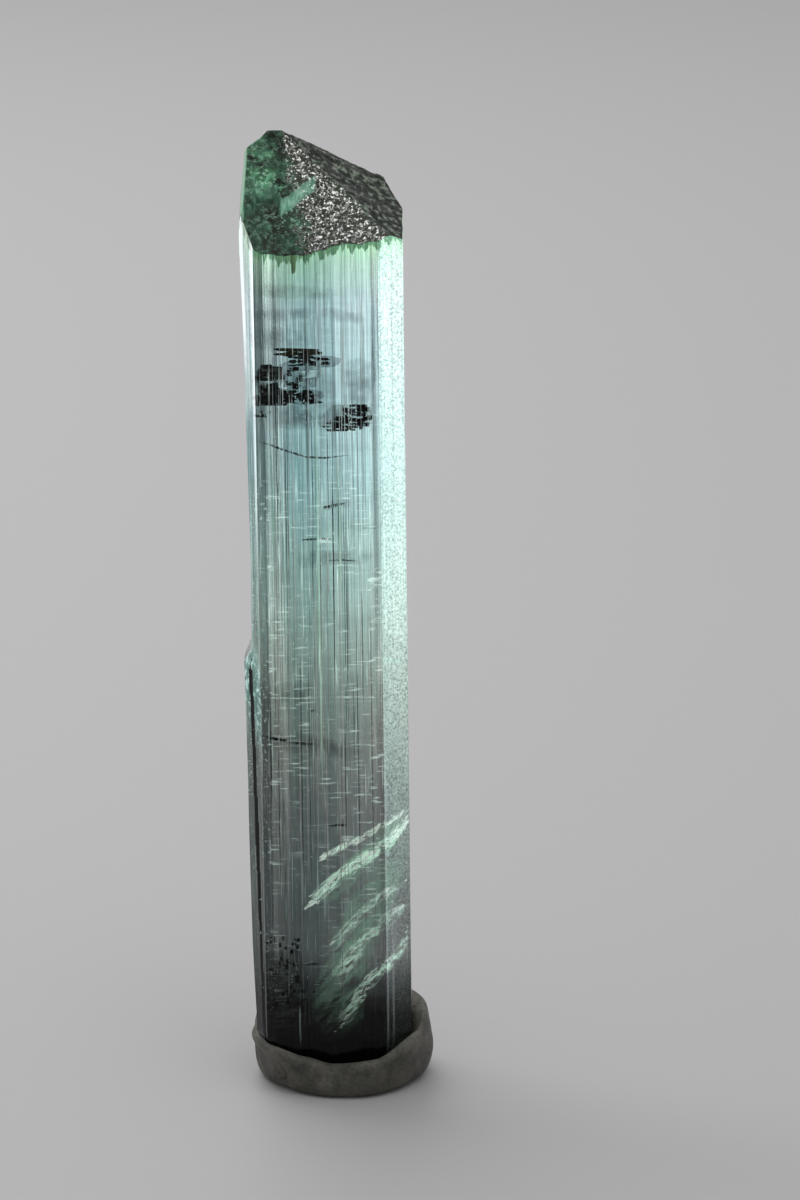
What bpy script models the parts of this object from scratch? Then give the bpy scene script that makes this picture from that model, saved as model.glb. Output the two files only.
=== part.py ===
# A tourmaline crystal standing in a lump of mineral putty, in metres with +Z up and the viewer at -Y.
# The crystal is one prism, striated lengthwise, whose tip is cut by sloping faces with a step and
# etch pits in them. The putty is pressed round its broken foot.
import math
import random

import bmesh
import bpy
from mathutils import Matrix, Vector

MM = 0.001

# The prism's side faces, counter-clockwise from the front: the direction each one looks in, in
# degrees from +X, and its distance from the prism's axis in millimetres.
SIDE_FACES = (
    ("front", -90, 4.60),
    ("front right", -80, 5.00),
    ("right bevel", -60, 5.70),
    ("right", 0, 5.45),
    ("back right", 30, 5.00),
    ("back right bevel", 60, 5.60),
    ("back", 90, 5.30),
    ("back left bevel", 120, 5.70),
    ("back left", 150, 5.10),
    ("left", 180, 5.45),
    ("left bevel", 208, 5.99),
    ("front left bevel", 235, 6.03),
)
LEFT_FACE = 9

# The left face isn't straight: it flares upwards twice, with a ledge between. Each height is a level
# of the prism, with the left face's distance from the axis there, in millimetres.
LEVELS = (
    (1.2, 5.10),
    (4.4, 5.26),
    (10.0, 5.49),
    (17.0, 5.60),
    (24.0, 5.64),
    (30.5, 5.74),
    (31.6, 5.18),
    (38.0, 5.12),
    (46.0, 5.23),
    (53.0, 5.31),
    (60.0, 5.53),
    (62.5, 5.42),
    (66.0, 5.02),
    (70.0, 5.02),
)
FOOT_HEIGHT = LEVELS[0][0]
TAPER_HEIGHT = LEVELS[1][0]
FOOT_TAPER = 0.45  # how far the worn foot draws in, in millimetres

STRIATION_SPACING = 0.36  # millimetres between the ridges of the side faces
STRIATION_DEPTH = 0.13  # the deepest groove, in millimetres
STRIATION_SEED = 12

# The tip's faces: the direction each one slopes down towards, its slope in degrees, and a point on
# it in millimetres.
FRONT_SLOPE = 49.0
FRONT_POINT = (0.0, -4.60, 60.0)
TIP_FACES = (
    (-90, FRONT_SLOPE, FRONT_POINT),
    (-85.7, 47.6, (-2.63, 1.23, 66.70)),
    (-29.6, 35.5, (-2.63, 1.23, 66.70)),
    (5, 58.0, (4.30, 2.00, 62.90)),
    (72, 46.0, (-2.63, 1.23, 66.70)),
    (90, 46.0, (-3.00, 1.23, 66.70)),
    (150, 50.3, (-5.02, 0.25, 65.57)),
    (-170, 72.8, (-4.62, 0.30, 65.60)),
)
# The foot broke off obliquely below its front left corner.
FOOT_BREAK = (-137, 134.0, (-3.90, -3.90, 3.20))

# The step in the front face of the tip, seen from above, and how deep it is, in millimetres.
STEP_OUTLINE = (
    (-6.50, -2.75),
    (-5.28, -2.71),
    (-4.66, -2.55),
    (-4.16, -1.85),
    (-3.28, -1.56),
    (-2.90, -2.00),
    (-2.63, -2.51),
    (-0.38, -1.21),
    (-0.05, -1.42),
    (1.35, -4.60),
    (1.45, -6.50),
    (-6.50, -6.50),
)
STEP_DEPTH = 0.80
STEP_CUTTER_HEIGHT = 12.0

PIT_COUNT = 110
PIT_RADIUS = (0.18, 0.44)  # millimetres
PIT_DEPTH = 0.62  # of its own radius
PIT_SIDES = 5
PIT_EDGE_MARGIN = 0.16  # millimetres from a pit's rim to the edge of its face
PIT_SPACING = 0.08  # millimetres between two rims
PIT_SEED = 5
PIT_TRIES = 12000

# The crystal leans to the left on its foot, which stands right of the putty's centre line.
LEAN = math.radians(-0.66)
FOOT_X = 0.435

# The putty seen from above: the direction from the crystal's axis in degrees, then the radius on the
# ground, at the bulge and at the lip, and the lip's height, all in millimetres.
PUTTY_SHAPE = (
    (-90, 4.90, 5.75, 5.35, 2.4),
    (-60, 5.20, 6.20, 6.35, 2.8),
    (-32, 5.30, 6.50, 7.05, 4.2),
    (0, 5.70, 6.95, 6.60, 5.2),
    (30, 5.60, 6.90, 6.40, 5.3),
    (60, 5.50, 6.70, 6.40, 5.1),
    (90, 5.50, 6.60, 6.30, 4.9),
    (120, 5.30, 6.40, 6.45, 4.7),
    (150, 4.90, 5.85, 6.05, 4.4),
    (180, 4.70, 5.60, 5.70, 4.0),
    (205, 4.50, 5.45, 6.25, 3.9),
    (225, 4.30, 5.30, 6.65, 3.6),
    (248, 4.60, 5.55, 5.70, 2.9),
)
# The putty's profile from the ground up: how much of the ground, bulge and lip radius each ring
# takes, what it draws in by in millimetres, and its part of the lip's height.
PUTTY_PROFILE = (
    (1.00, 0.00, 0.00, 0.00, 0.00),
    (0.45, 0.55, 0.00, 0.00, 0.07),
    (0.12, 0.88, 0.00, 0.00, 0.22),
    (0.00, 1.00, 0.00, 0.00, 0.42),
    (0.00, 0.60, 0.40, 0.00, 0.64),
    (0.00, 0.12, 0.88, 0.00, 0.84),
    (0.00, 0.00, 1.00, 0.12, 0.95),
    (0.00, 0.00, 1.00, 0.42, 1.00),
    (0.00, 0.00, 1.00, 1.80, 0.96),
)
PUTTY_POINTS = 56
PUTTY_GAP = 0.30  # millimetres between the crystal's foot and the putty
POCKET_LEVELS = 3  # how many of the prism's levels the pocket spans


def remove_scene_objects():
    for old in list(bpy.data.objects):
        bpy.data.objects.remove(old, do_unlink=True)


def material(name, colour, roughness, metallic=0.0, transmission=0.0, ior=1.5):
    made = bpy.data.materials.new(name)
    made.use_nodes = True
    shader = made.node_tree.nodes["Principled BSDF"]
    shader.inputs["Base Color"].default_value = (*colour, 1.0)
    shader.inputs["Roughness"].default_value = roughness
    shader.inputs["Metallic"].default_value = metallic
    shader.inputs["Transmission Weight"].default_value = transmission
    shader.inputs["IOR"].default_value = ior
    made.diffuse_color = (*colour, 1.0)
    return made


def new_object(name, bm):
    """A mesh object from a bmesh that was modelled in millimetres."""
    bmesh.ops.recalc_face_normals(bm, faces=bm.faces[:])
    bmesh.ops.scale(bm, vec=Vector((MM, MM, MM)), verts=bm.verts[:])
    mesh = bpy.data.meshes.new(name)
    bm.to_mesh(mesh)
    bm.free()
    made = bpy.data.objects.new(name, mesh)
    bpy.context.scene.collection.objects.link(made)
    return made


def make_cutter(cutter, parent):
    cutter.hide_render = True
    cutter.display_type = "WIRE"
    cutter.parent = parent


def cut_away(target, cutter):
    cut = target.modifiers.new("Cut " + cutter.name, "BOOLEAN")
    cut.operation = "DIFFERENCE"
    cut.solver = "EXACT"
    cut.object = cutter


def raise_ring(bm, ring, points):
    """Extrudes a closed ring of vertices and puts the new ring on these points."""
    edges = [bm.edges.get((a, b)) for a, b in zip(ring, ring[1:] + ring[:1])]
    made = set(bmesh.ops.extrude_edge_only(bm, edges=edges)["geom"])
    raised = []
    for vert, point in zip(ring, points):
        above = next(edge.other_vert(vert) for edge in vert.link_edges if edge.other_vert(vert) in made)
        above.co = point
        raised.append(above)
    return raised


def stack_rings(rings):
    """A closed body whose surface runs through a stack of rings with the same number of points."""
    bm = bmesh.new()
    first = [bm.verts.new(point) for point in rings[0]]
    bm.faces.new(first)
    ring = first
    for points in rings[1:]:
        ring = raise_ring(bm, ring, points)
    bm.faces.new(ring)
    return bm


def face_corner(one, two):
    """Where two side faces meet, seen from above. Each is a direction in radians and a distance."""
    turn = math.sin(two[0] - one[0])
    x = (one[1] * math.sin(two[0]) - two[1] * math.sin(one[0])) / turn
    y = (two[1] * math.cos(one[0]) - one[1] * math.cos(two[0])) / turn
    return Vector((x, y, 0.0))


def section_corners(height, left_reach, outset):
    """The prism's corners at a height, with every face moved out by outset."""
    taper = FOOT_TAPER * max(0.0, TAPER_HEIGHT - height) / (TAPER_HEIGHT - FOOT_HEIGHT)
    faces = []
    for number, (_, direction, distance) in enumerate(SIDE_FACES):
        reach = left_reach if number == LEFT_FACE else distance
        faces.append((math.radians(direction), reach - taper + outset))
    return [face_corner(faces[number - 1], faces[number]) for number in range(len(faces))]


def striations():
    """For each side face, its grooves as (part of the face's width, depth in millimetres)."""
    rng = random.Random(STRIATION_SEED)
    corners = section_corners(*LEVELS[1], 0.0)
    grooves = []
    for start, end in zip(corners, corners[1:] + corners[:1]):
        count = max(1, round((end - start).length / STRIATION_SPACING))
        face = []
        for step in range(1, count):
            shift = rng.uniform(-0.3, 0.3)
            face.append(((step + shift) / count, STRIATION_DEPTH * rng.random() ** 1.5))
        grooves.append(face)
    return grooves


def prism_ring(level, grooves, outset):
    """One ring of the prism, with the grooves cut inwards by a depth that drifts from level to level."""
    height, left_reach = LEVELS[level]
    corners = section_corners(height, left_reach, outset)
    points = []
    for number, (start, end) in enumerate(zip(corners, corners[1:] + corners[:1])):
        direction = math.radians(SIDE_FACES[number][1])
        inwards = Vector((-math.cos(direction), -math.sin(direction), 0.0))
        points.append(start)
        for index, (part, depth) in enumerate(grooves[number]):
            drift = 1.0 + 0.4 * math.sin(1.7 * level + 2.3 * index + number)
            points.append(start.lerp(end, part) + inwards * depth * drift)
    lift = Vector((0.0, 0.0, height))
    return [point + lift for point in points]


def plane_normal(direction, slope):
    tilt = math.radians(slope)
    turn = math.radians(direction)
    return Vector((math.sin(tilt) * math.cos(turn), math.sin(tilt) * math.sin(turn), math.cos(tilt)))


def slice_off(bm, direction, slope, point, outset=0.0):
    """Cuts the body along a plane, drops what lies outside it and closes the cut with one face."""
    normal = plane_normal(direction, slope)
    everything = bm.verts[:] + bm.edges[:] + bm.faces[:]
    place = Vector(point) + normal * outset
    cut = bmesh.ops.bisect_plane(
        bm, geom=everything, dist=1e-5, plane_co=place, plane_no=normal, clear_outer=True
    )
    rim = [item for item in cut["geom_cut"] if isinstance(item, bmesh.types.BMEdge)]
    bmesh.ops.holes_fill(bm, edges=rim)


def plane_height(face, x, y):
    """The height of a tip face over a point of the ground plan."""
    direction, slope, point = face
    normal = plane_normal(direction, slope)
    return point[2] - (normal.x * (x - point[0]) + normal.y * (y - point[1])) / normal.z


def step_cutter():
    """An upright block with the step's outline, whose sloping underside is the step's floor."""
    bm = bmesh.new()
    floor = []
    for x, y in STEP_OUTLINE:
        height = plane_height(TIP_FACES[0], x, y) - STEP_DEPTH
        floor.append(bm.verts.new((x, y, height)))
    bottom = bm.faces.new(floor)
    lifted = bmesh.ops.extrude_face_region(bm, geom=[bottom])["geom"]
    upper = [item for item in lifted if isinstance(item, bmesh.types.BMVert)]
    bmesh.ops.translate(bm, verts=upper, vec=Vector((0.0, 0.0, STEP_CUTTER_HEIGHT)))
    return new_object("step cutter", bm)


def in_step(x, y):
    """Whether a point of the ground plan lies in the step's outline, by counting the edges it is left of."""
    inside = False
    for (x0, y0), (x1, y1) in zip(STEP_OUTLINE, STEP_OUTLINE[1:] + STEP_OUTLINE[:1]):
        if (y0 > y) != (y1 > y) and x < x0 + (y - y0) * (x1 - x0) / (y1 - y0):
            inside = not inside
    return inside


def in_prism(x, y):
    return all(
        x * math.cos(math.radians(direction)) + y * math.sin(math.radians(direction)) < distance
        for _, direction, distance in SIDE_FACES
    )


def tip_patch(x, y):
    """Which piece of the tip's surface lies over a point: the number of its face and whether it is the step."""
    if not in_prism(x, y):
        return None
    heights = [plane_height(face, x, y) for face in TIP_FACES]
    lowest = heights.index(min(heights))
    return lowest, in_step(x, y)


def pit_cutter():
    """Small upturned cones set into the tip's faces, none of which crosses an edge or another cone."""
    rng = random.Random(PIT_SEED)
    pits = []
    bm = bmesh.new()
    for _ in range(PIT_TRIES):
        if len(pits) == PIT_COUNT:
            break
        x = rng.uniform(-5.2, 5.2)
        y = rng.uniform(-4.5, 5.0)
        radius = rng.uniform(*PIT_RADIUS)
        turn = rng.uniform(0.0, math.tau)
        patch = tip_patch(x, y)
        margin = radius + PIT_EDGE_MARGIN
        around = [(x + margin, y), (x - margin, y), (x, y + margin), (x, y - margin)]
        if patch is None or any(tip_patch(*near) != patch for near in around):
            continue
        if any(math.hypot(x - px, y - py) < radius + pr + PIT_SPACING for px, py, pr in pits):
            continue
        pits.append((x, y, radius))
        face = TIP_FACES[patch[0]]
        drop = STEP_DEPTH if patch[1] else 0.0
        normal = plane_normal(face[0], face[1])
        place = Vector((x, y, plane_height(face, x, y) - drop))
        # The cone is centred on the face, so half of its height is in it and the rim is half as wide.
        cone = bmesh.ops.create_cone(
            bm,
            cap_ends=True,
            segments=PIT_SIDES,
            radius1=0.0,
            radius2=2.0 * radius,
            depth=2.0 * PIT_DEPTH * radius,
        )["verts"]
        aim = normal.to_track_quat("Z", "Y").to_matrix() @ Matrix.Rotation(turn, 3, "Z")
        bmesh.ops.rotate(bm, verts=cone, cent=Vector(), matrix=aim)
        bmesh.ops.translate(bm, verts=cone, vec=place)
    return new_object("pit cutter", bm)


def make_crystal(parent):
    grooves = striations()
    bm = stack_rings([prism_ring(level, grooves, 0.0) for level in range(len(LEVELS))])
    for direction, slope, point in TIP_FACES:
        slice_off(bm, direction, slope, point)
    slice_off(bm, *FOOT_BREAK)
    crystal = new_object("crystal", bm)
    crystal.parent = parent
    crystal.location = (FOOT_X * MM, 0.0, 0.0)
    crystal.rotation_euler = (0.0, LEAN, 0.0)
    for cutter in (step_cutter(), pit_cutter()):
        make_cutter(cutter, crystal)
        cut_away(crystal, cutter)
    crystal.data.materials.append(
        material("green tourmaline", (0.30, 0.50, 0.42), 0.08, transmission=0.85, ior=1.63)
    )
    return crystal


def pocket_cutter(parent):
    """The crystal's foot without its grooves, grown by the gap: what the putty makes room for."""
    plain = [[] for _ in SIDE_FACES]
    rings = [prism_ring(level, plain, PUTTY_GAP) for level in range(POCKET_LEVELS)]
    floor = Vector((0.0, 0.0, -PUTTY_GAP))
    rings[0] = [point + floor for point in rings[0]]
    bm = stack_rings(rings)
    slice_off(bm, *FOOT_BREAK, outset=PUTTY_GAP)
    cutter = new_object("pocket cutter", bm)
    make_cutter(cutter, parent)
    cutter.location = (FOOT_X * MM, 0.0, 0.0)
    cutter.rotation_euler = (0.0, LEAN, 0.0)
    return cutter


def putty_values(direction):
    """The putty's radii and lip height in a direction, eased between the two nearest known ones."""
    for before, after in zip(PUTTY_SHAPE, PUTTY_SHAPE[1:] + PUTTY_SHAPE[:1]):
        span = (after[0] - before[0]) % 360
        away = (direction - before[0]) % 360
        if away < span:
            break
    part = away / span
    ease = part * part * (3.0 - 2.0 * part)
    return [a + (b - a) * ease for a, b in zip(before[1:], after[1:])]


def make_putty(parent):
    rings = []
    for ground_part, bulge_part, lip_part, inset, rise in PUTTY_PROFILE:
        ring = []
        for step in range(PUTTY_POINTS):
            direction = 360.0 * step / PUTTY_POINTS
            ground, bulge, lip, height = putty_values(direction)
            radius = ground_part * ground + bulge_part * bulge + lip_part * lip - inset
            turn = math.radians(direction)
            ring.append(Vector((FOOT_X + radius * math.cos(turn), radius * math.sin(turn), rise * height)))
        rings.append(ring)
    putty = new_object("putty", stack_rings(rings))
    putty.parent = parent
    cut_away(putty, pocket_cutter(parent))
    putty.data.shade_smooth()
    putty.data.set_sharp_from_angle(angle=math.radians(40))
    putty.data.materials.append(material("grey putty", (0.20, 0.20, 0.185), 0.6))
    return putty


def centre_on_ground(stand, parts):
    """Moves the whole model so that its box is centred over the origin and rests on the ground."""
    bpy.context.view_layer.update()
    graph = bpy.context.evaluated_depsgraph_get()
    corners = []
    for part in parts:
        shape = part.evaluated_get(graph).to_mesh()
        corners += [part.matrix_world @ vert.co for vert in shape.vertices]
    low = [min(corner[axis] for corner in corners) for axis in range(3)]
    high = [max(corner[axis] for corner in corners) for axis in range(3)]
    stand.location = (-(low[0] + high[0]) / 2, -(low[1] + high[1]) / 2, -low[2])


def main():
    remove_scene_objects()
    stand = bpy.data.objects.new("stand", None)
    bpy.context.scene.collection.objects.link(stand)
    crystal = make_crystal(stand)
    putty = make_putty(stand)
    centre_on_ground(stand, (crystal, putty))


main()
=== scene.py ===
# Tourmaline crystal in a lump of mineral putty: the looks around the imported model, for Blender 4.5
import math

import bpy
import numpy as np
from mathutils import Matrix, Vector


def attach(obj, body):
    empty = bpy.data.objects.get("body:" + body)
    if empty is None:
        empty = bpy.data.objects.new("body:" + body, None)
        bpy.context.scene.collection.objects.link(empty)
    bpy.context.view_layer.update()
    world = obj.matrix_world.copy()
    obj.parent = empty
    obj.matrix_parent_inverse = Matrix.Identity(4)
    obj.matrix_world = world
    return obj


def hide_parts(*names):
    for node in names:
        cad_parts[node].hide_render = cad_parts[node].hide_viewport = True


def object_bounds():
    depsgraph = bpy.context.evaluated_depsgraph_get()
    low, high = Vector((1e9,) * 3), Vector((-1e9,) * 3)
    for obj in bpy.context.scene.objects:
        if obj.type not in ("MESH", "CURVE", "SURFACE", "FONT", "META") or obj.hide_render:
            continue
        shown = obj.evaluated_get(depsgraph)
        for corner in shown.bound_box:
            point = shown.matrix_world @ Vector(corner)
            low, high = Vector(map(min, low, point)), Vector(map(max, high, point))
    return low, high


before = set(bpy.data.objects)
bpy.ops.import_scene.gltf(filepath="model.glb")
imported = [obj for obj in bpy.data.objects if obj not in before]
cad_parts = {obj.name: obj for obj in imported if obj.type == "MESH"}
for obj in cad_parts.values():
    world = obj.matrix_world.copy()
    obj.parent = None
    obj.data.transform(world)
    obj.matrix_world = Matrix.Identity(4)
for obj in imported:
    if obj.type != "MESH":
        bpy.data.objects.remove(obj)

cadLow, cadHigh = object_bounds()
mm = 0.001
print("frame loaded, box", [round(c / mm, 2) for c in (*cadLow, *cadHigh)])


# Placing

placing = {
    "axisX": -0.3646,  # where the crystal's axis meets the ground, mm
    "axisY": -0.4107,
    "lean": -0.66,  # degrees about Y, top to the left
}


# x' = x cos + z sin, z' = z cos - x sin, then the shift: from the crystal's own mm to the frame's metres
def toFrame(x, y, z):
    lean = math.radians(placing["lean"])
    c, s = math.cos(lean), math.sin(lean)
    x, y, z = np.broadcast_arrays(x, y, z)
    return np.stack([x * c + z * s + placing["axisX"], y + placing["axisY"], z * c - x * s], -1) * mm


# Camera, first, because the marks inside the crystal are placed through it

view = {
    "aim": (5.0, 0.0, 34.27),  # mm, with X and Y from the putty's centre line
    "centre": (-0.7996, -0.4107),  # that line in the frame, mm
    "elevation": 15.0,
    "distance": 380.0,  # mm
    "focal": 5548.0,  # pixels of an image 800 wide and 1200 high
    "size": (800, 1200),
    "sensor": 36.0,
    "near": 0.01,  # metres
    "far": 20.0,
    "pixelsPerMm": 14.8,  # on the front face
    "edgeRow": 1026,
    # where the front's neighbour faces begin: pixel at that row, change per row, side, how steeply they
    # fall back
    "edges": [
        (276, 0.0183, -1, 0.70), (267, 0.0187, -1, 1.18), (372.2, 0.0135, 1, 0.18),
        (387.4, 0.0128, 1, 0.40),
    ],
}
pixelSize = 1 / view["pixelsPerMm"]
inwards = np.array([0.0, 1.0, 0.0])  # away from the viewer


# the camera stands at aim - distance x its direction, and its lens is focal x sensor / picture height
def makeCamera():
    camera = bpy.data.objects.new("camera", bpy.data.cameras.new("camera"))
    bpy.context.scene.collection.objects.link(camera)
    e = math.radians(view["elevation"])
    aim = np.array(view["aim"]) + (*view["centre"], 0.0)
    place = aim - view["distance"] * np.array([0.0, math.cos(e), -math.sin(e)])
    camera.location = place * mm
    camera.rotation_euler = (math.pi / 2 - e, 0.0, 0.0)
    camera.data.sensor_width = view["sensor"]
    camera.data.lens = view["focal"] * view["sensor"] / view["size"][1]
    camera.data.clip_start, camera.data.clip_end = view["near"], view["far"]
    bpy.context.scene.camera = camera
    return place


# how far the faces beside the front one fall back behind it at a pixel, in mm: at each edge passed on the
# way out, its steepness times the pixels beyond it
def fallBack(px, py):
    back = 0.0
    for edge, slant, side, steep in view["edges"]:
        back = back + steep * np.clip(side * (px - edge - slant * (py - view["edgeRow"])), 0, None)
    return back * pixelSize


# A pixel's sight line meets the crystal at y = fall - front, and bends there by Snell's law:
# across the face the direction shrinks by the index, and what is left of it runs inwards
def behindPixel(px, py, depth):
    px, py = np.asarray(px, float), np.asarray(py, float)
    fall = fallBack(px, py)
    e = math.radians(view["elevation"])
    right = (px - view["size"][0] / 2) / view["focal"]
    up = (view["size"][1] / 2 - py) / view["focal"]
    ray = np.stack([right, math.cos(e) + up * math.sin(e), up * math.cos(e) - math.sin(e)], -1)
    ray /= np.linalg.norm(ray, axis=-1, keepdims=True)
    wall = (fall - crystalShape["faces"][0][1] + placing["axisY"] - cameraPlace[1]) / ray[..., 1]
    across = ray[..., [0, 2]] / glassIndex
    inward = np.sqrt(1.0 - (across**2).sum(-1))
    x = cameraPlace[0] + ray[..., 0] * wall + across[..., 0] / inward * depth
    z = cameraPlace[2] + ray[..., 2] * wall + across[..., 1] / inward * depth
    y = fall - crystalShape["faces"][0][1] + placing["axisY"] + depth + 0.0 * x
    return np.stack([x, y, z], -1) * mm


# Mesh helpers

# quads between rows of a grid whose columns close into rings: corner = row x columns + column
def ringQuads(rows, columns):
    row = np.arange(rows - 1)[:, None] * columns
    here = np.arange(columns)[None, :]
    there = (here + 1) % columns
    quads = np.stack([row + here, row + there, row + columns + there, row + columns + here], -1)
    return quads.reshape(-1, 4)


# quads of a grid of closed rings, and triangle fans that close the first and last ring onto the two
# points after the grid's own
def closedFaces(rows, columns):
    here = np.arange(columns)
    there = (here + 1) % columns
    low, last = rows * columns, (rows - 1) * columns
    fans = np.concatenate([
        np.stack([there, here, here * 0 + low], -1),
        np.stack([last + here, last + there, here * 0 + low + 1], -1),
    ])
    return ringQuads(rows, columns), fans


# a closed body: the rings' points, then its two poles
def closedRings(grid, lowPole, highPole):
    return np.concatenate([grid.reshape(-1, 3), [lowPole], [highPole]]), *closedFaces(*grid.shape[:2])


# points and faces as whole arrays: face n starts at loop 4n among the quads and at 3n after them in the
# fans
def fillMesh(name, points, quads, fans, smooth=True):
    mesh = bpy.data.meshes.new(name)
    loops = np.concatenate([quads.ravel(), fans.ravel()]).astype(np.int32)
    starts = np.concatenate([np.arange(len(quads)) * 4, len(quads) * 4 + np.arange(len(fans)) * 3])
    mesh.vertices.add(len(points))
    mesh.vertices.foreach_set("co", np.asarray(points, np.float32).ravel())
    mesh.loops.add(len(loops))
    mesh.loops.foreach_set("vertex_index", loops)
    mesh.polygons.add(len(starts))
    mesh.polygons.foreach_set("loop_start", starts.astype(np.int32))
    mesh.update(calc_edges=True)
    mesh.validate()
    mesh.polygons.foreach_set("use_smooth", np.array(np.broadcast_to(smooth, len(mesh.polygons))))
    mesh.update()
    piece = bpy.data.objects.new(name, mesh)
    bpy.context.scene.collection.objects.link(piece)
    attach(piece, "root")
    return piece


# many closed bodies as one mesh: each one's corner numbers move up by the points before it
def joinBodies(name, bodies):
    shifts = np.cumsum([0] + [len(points) for points, _, _ in bodies])
    quads = [quads + shift for (_, quads, _), shift in zip(bodies, shifts)]
    fans = [fans + shift for (_, _, fans), shift in zip(bodies, shifts)]
    return fillMesh(
        name, np.concatenate([b[0] for b in bodies]), np.concatenate(quads), np.concatenate(fans)
    )


# a value for each point, which materials read by its name
def addPointValue(mesh, name, values):
    attribute = mesh.attributes.new(name, "FLOAT", "POINT")
    attribute.data.foreach_set("value", np.asarray(values, np.float32))


# straight lines between known values
def between(value, knots):
    return np.interp(value, *zip(*knots))


# value noise: random heights on a square lattice, eased with 3t^2 - 2t^3 between its corners
def latticeNoise(x, y, cell, seed):
    size = 64  # corners to a side, after which the lattice repeats
    heights = np.random.default_rng(seed).random((size, size))
    u, v = x / cell, y / cell
    i, j = np.floor(u).astype(int), np.floor(v).astype(int)
    a, b = u - i, v - j
    a, b = a * a * (3 - 2 * a), b * b * (3 - 2 * b)
    i, j = i % size, j % size
    k, m = (i + 1) % size, (j + 1) % size
    low = heights[i, j] * (1 - a) + heights[k, j] * a
    high = heights[i, m] * (1 - a) + heights[k, m] * a
    return low * (1 - b) + high * b - 0.5


# Crystal

apex = (-2.63, 1.23, 66.70)  # the tip's highest point, mm
crystalShape = {
    # side faces counter-clockwise from the front: direction in degrees, distance in mm
    "faces": [
        (-90, 4.60), (-80, 5.00), (-60, 5.70), (0, 5.45), (30, 5.00), (60, 5.60),
        (90, 5.30), (120, 5.70), (150, 5.10), (180, 5.45), (208, 5.99), (235, 6.03),
    ],
    "leftFace": 9,
    # the left face flares twice with a ledge between: height and distance in mm
    "leftReach": [
        (1.2, 5.10), (4.4, 5.26), (10, 5.49), (17, 5.60), (24, 5.64), (30.5, 5.74), (31.6, 5.18),
        (38, 5.12), (46, 5.23), (53, 5.31), (60, 5.53), (62.5, 5.42), (66, 5.02), (70, 5.02),
    ],
    "foot": 1.2,
    "taperTop": 4.4,
    "taper": 0.45,
    # faces of the tip: direction each slopes down to, slope in degrees, a point on it in mm
    "tipFaces": [
        (-90, 49.0, (0.0, -4.60, 60.0)), (-85.7, 47.6, apex), (-29.6, 35.5, apex),
        (5, 58.0, (4.30, 2.00, 62.90)),
        (72, 46.0, apex), (90, 46.0, (-3.00, 1.23, 66.70)), (150, 50.3, (-5.02, 0.25, 65.57)),
        (-172, 79.0, (-5.02, 0.30, 65.40)),
    ],
    # the broken foot corner: direction, slope and a point of the plane that cuts it off
    "footBreak": (-137, 134.0, (-3.90, -3.90, 3.20)),
    "stepOutline": [
        (-6.50, -2.75), (-5.28, -2.71), (-4.66, -2.55), (-4.16, -1.85), (-3.28, -1.56), (-2.90, -2.00),
        (-2.63, -2.51), (-0.38, -1.21), (-0.05, -1.42), (1.35, -4.60), (1.45, -6.50), (-6.50, -6.50),
    ],
    "stepDepth": 0.80,
    "stepEase": 0.045,  # half width of the step's riser, mm
    "columns": 620,
    # rings round the sides, from and to in mm and their number, and then as many evenly up to the rim
    "rings": [(1.2, 5.4, 12), (7, 30.2, 14), (30.5, 31.7, 6), (32.2, 54, 14)],
    "rimRings": 8,
    "footRings": (0.35, 0.75),  # shares of the foot's size
    "tipRings": 96,
    "spreadAt": 40.0,  # height at which the columns are shared out among the faces, mm
    "rimGuess": 60.0,  # where the search for the rim starts, mm
    "rimMiddle": 61.0,  # the rim's height that the streaks start from, mm
    "poleBelow": 60.0,  # how far below it the foot's pole lies, mm
    "ridges": [(1.15, 0.070, 3), (0.43, 0.050, 4), (0.17, 0.022, 5)],  # pitch, depth, seed
    "ridgeLift": 0.055,  # how far the sides are moved out before the ridges are cut, mm
    "calmFaces": {2: 0.30, 9: 0.5},  # faces with shallower ridges: number and share of the depth
    "frostedFace": 2,
    "backFaces": [5, 6, 7],
    # face, part across it at a height, change per mm down, half width, top and how far below it it is
    # full
    "seam": (10, 0.46, 22.0, 0.0150, 0.12, 31.0, 3.0),
    "etch": [(1.10, 0.16, 11), (0.46, 0.11, 12), (0.21, 0.060, 13)],  # cell, depth, seed
    "etchLift": 0.20,  # how far the etched surface is raised before the lumps are cut into it, mm
    "top": 66.655,  # nothing reaches higher, mm
    # the step fades out over so much from its right edge, from so far below its corner, mm
    "fade": (1.9, 0.8),
}
glassIndex = 1.63


# each side face's direction and distance from the axis at a height: the worn foot draws the faces in by
# taper (top - z) / (top - foot)
def sideFaces(height):
    height = np.asarray(height, float)
    top, foot = crystalShape["taperTop"], crystalShape["foot"]
    drawn = crystalShape["taper"] * np.clip(top - height, 0, None) / (top - foot)
    for number, (direction, distance) in enumerate(crystalShape["faces"]):
        if number == crystalShape["leftFace"]:
            distance = between(height, crystalShape["leftReach"])
        yield math.radians(direction), distance - drawn


# where two side faces meet: the crossing of x cos a + y sin a = p and x cos b + y sin b = q
def sectionCorners(height):
    faces = list(sideFaces(height))
    xs, ys = [], []
    for number, (b, q) in enumerate(faces):
        a, p = faces[number - 1]
        xs.append((p * math.sin(b) - q * math.sin(a)) / math.sin(b - a))
        ys.append((q * math.cos(a) - p * math.cos(b)) / math.sin(b - a))
    return np.stack(xs), np.stack(ys)


# knots at random steps of 0.35 to 1.65 pitches round the section, straight lines between their random
# heights
def zigzag(along, pitch, seed):
    rng = np.random.default_rng(seed)
    around = along.max() * len(along) / (len(along) - 1)
    knots = np.cumsum(rng.uniform(0.35, 1.65, int(around / pitch) + 1))
    knots = knots / knots[-1] * around
    return np.interp(along, knots, rng.random(len(knots)), period=around)


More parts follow.
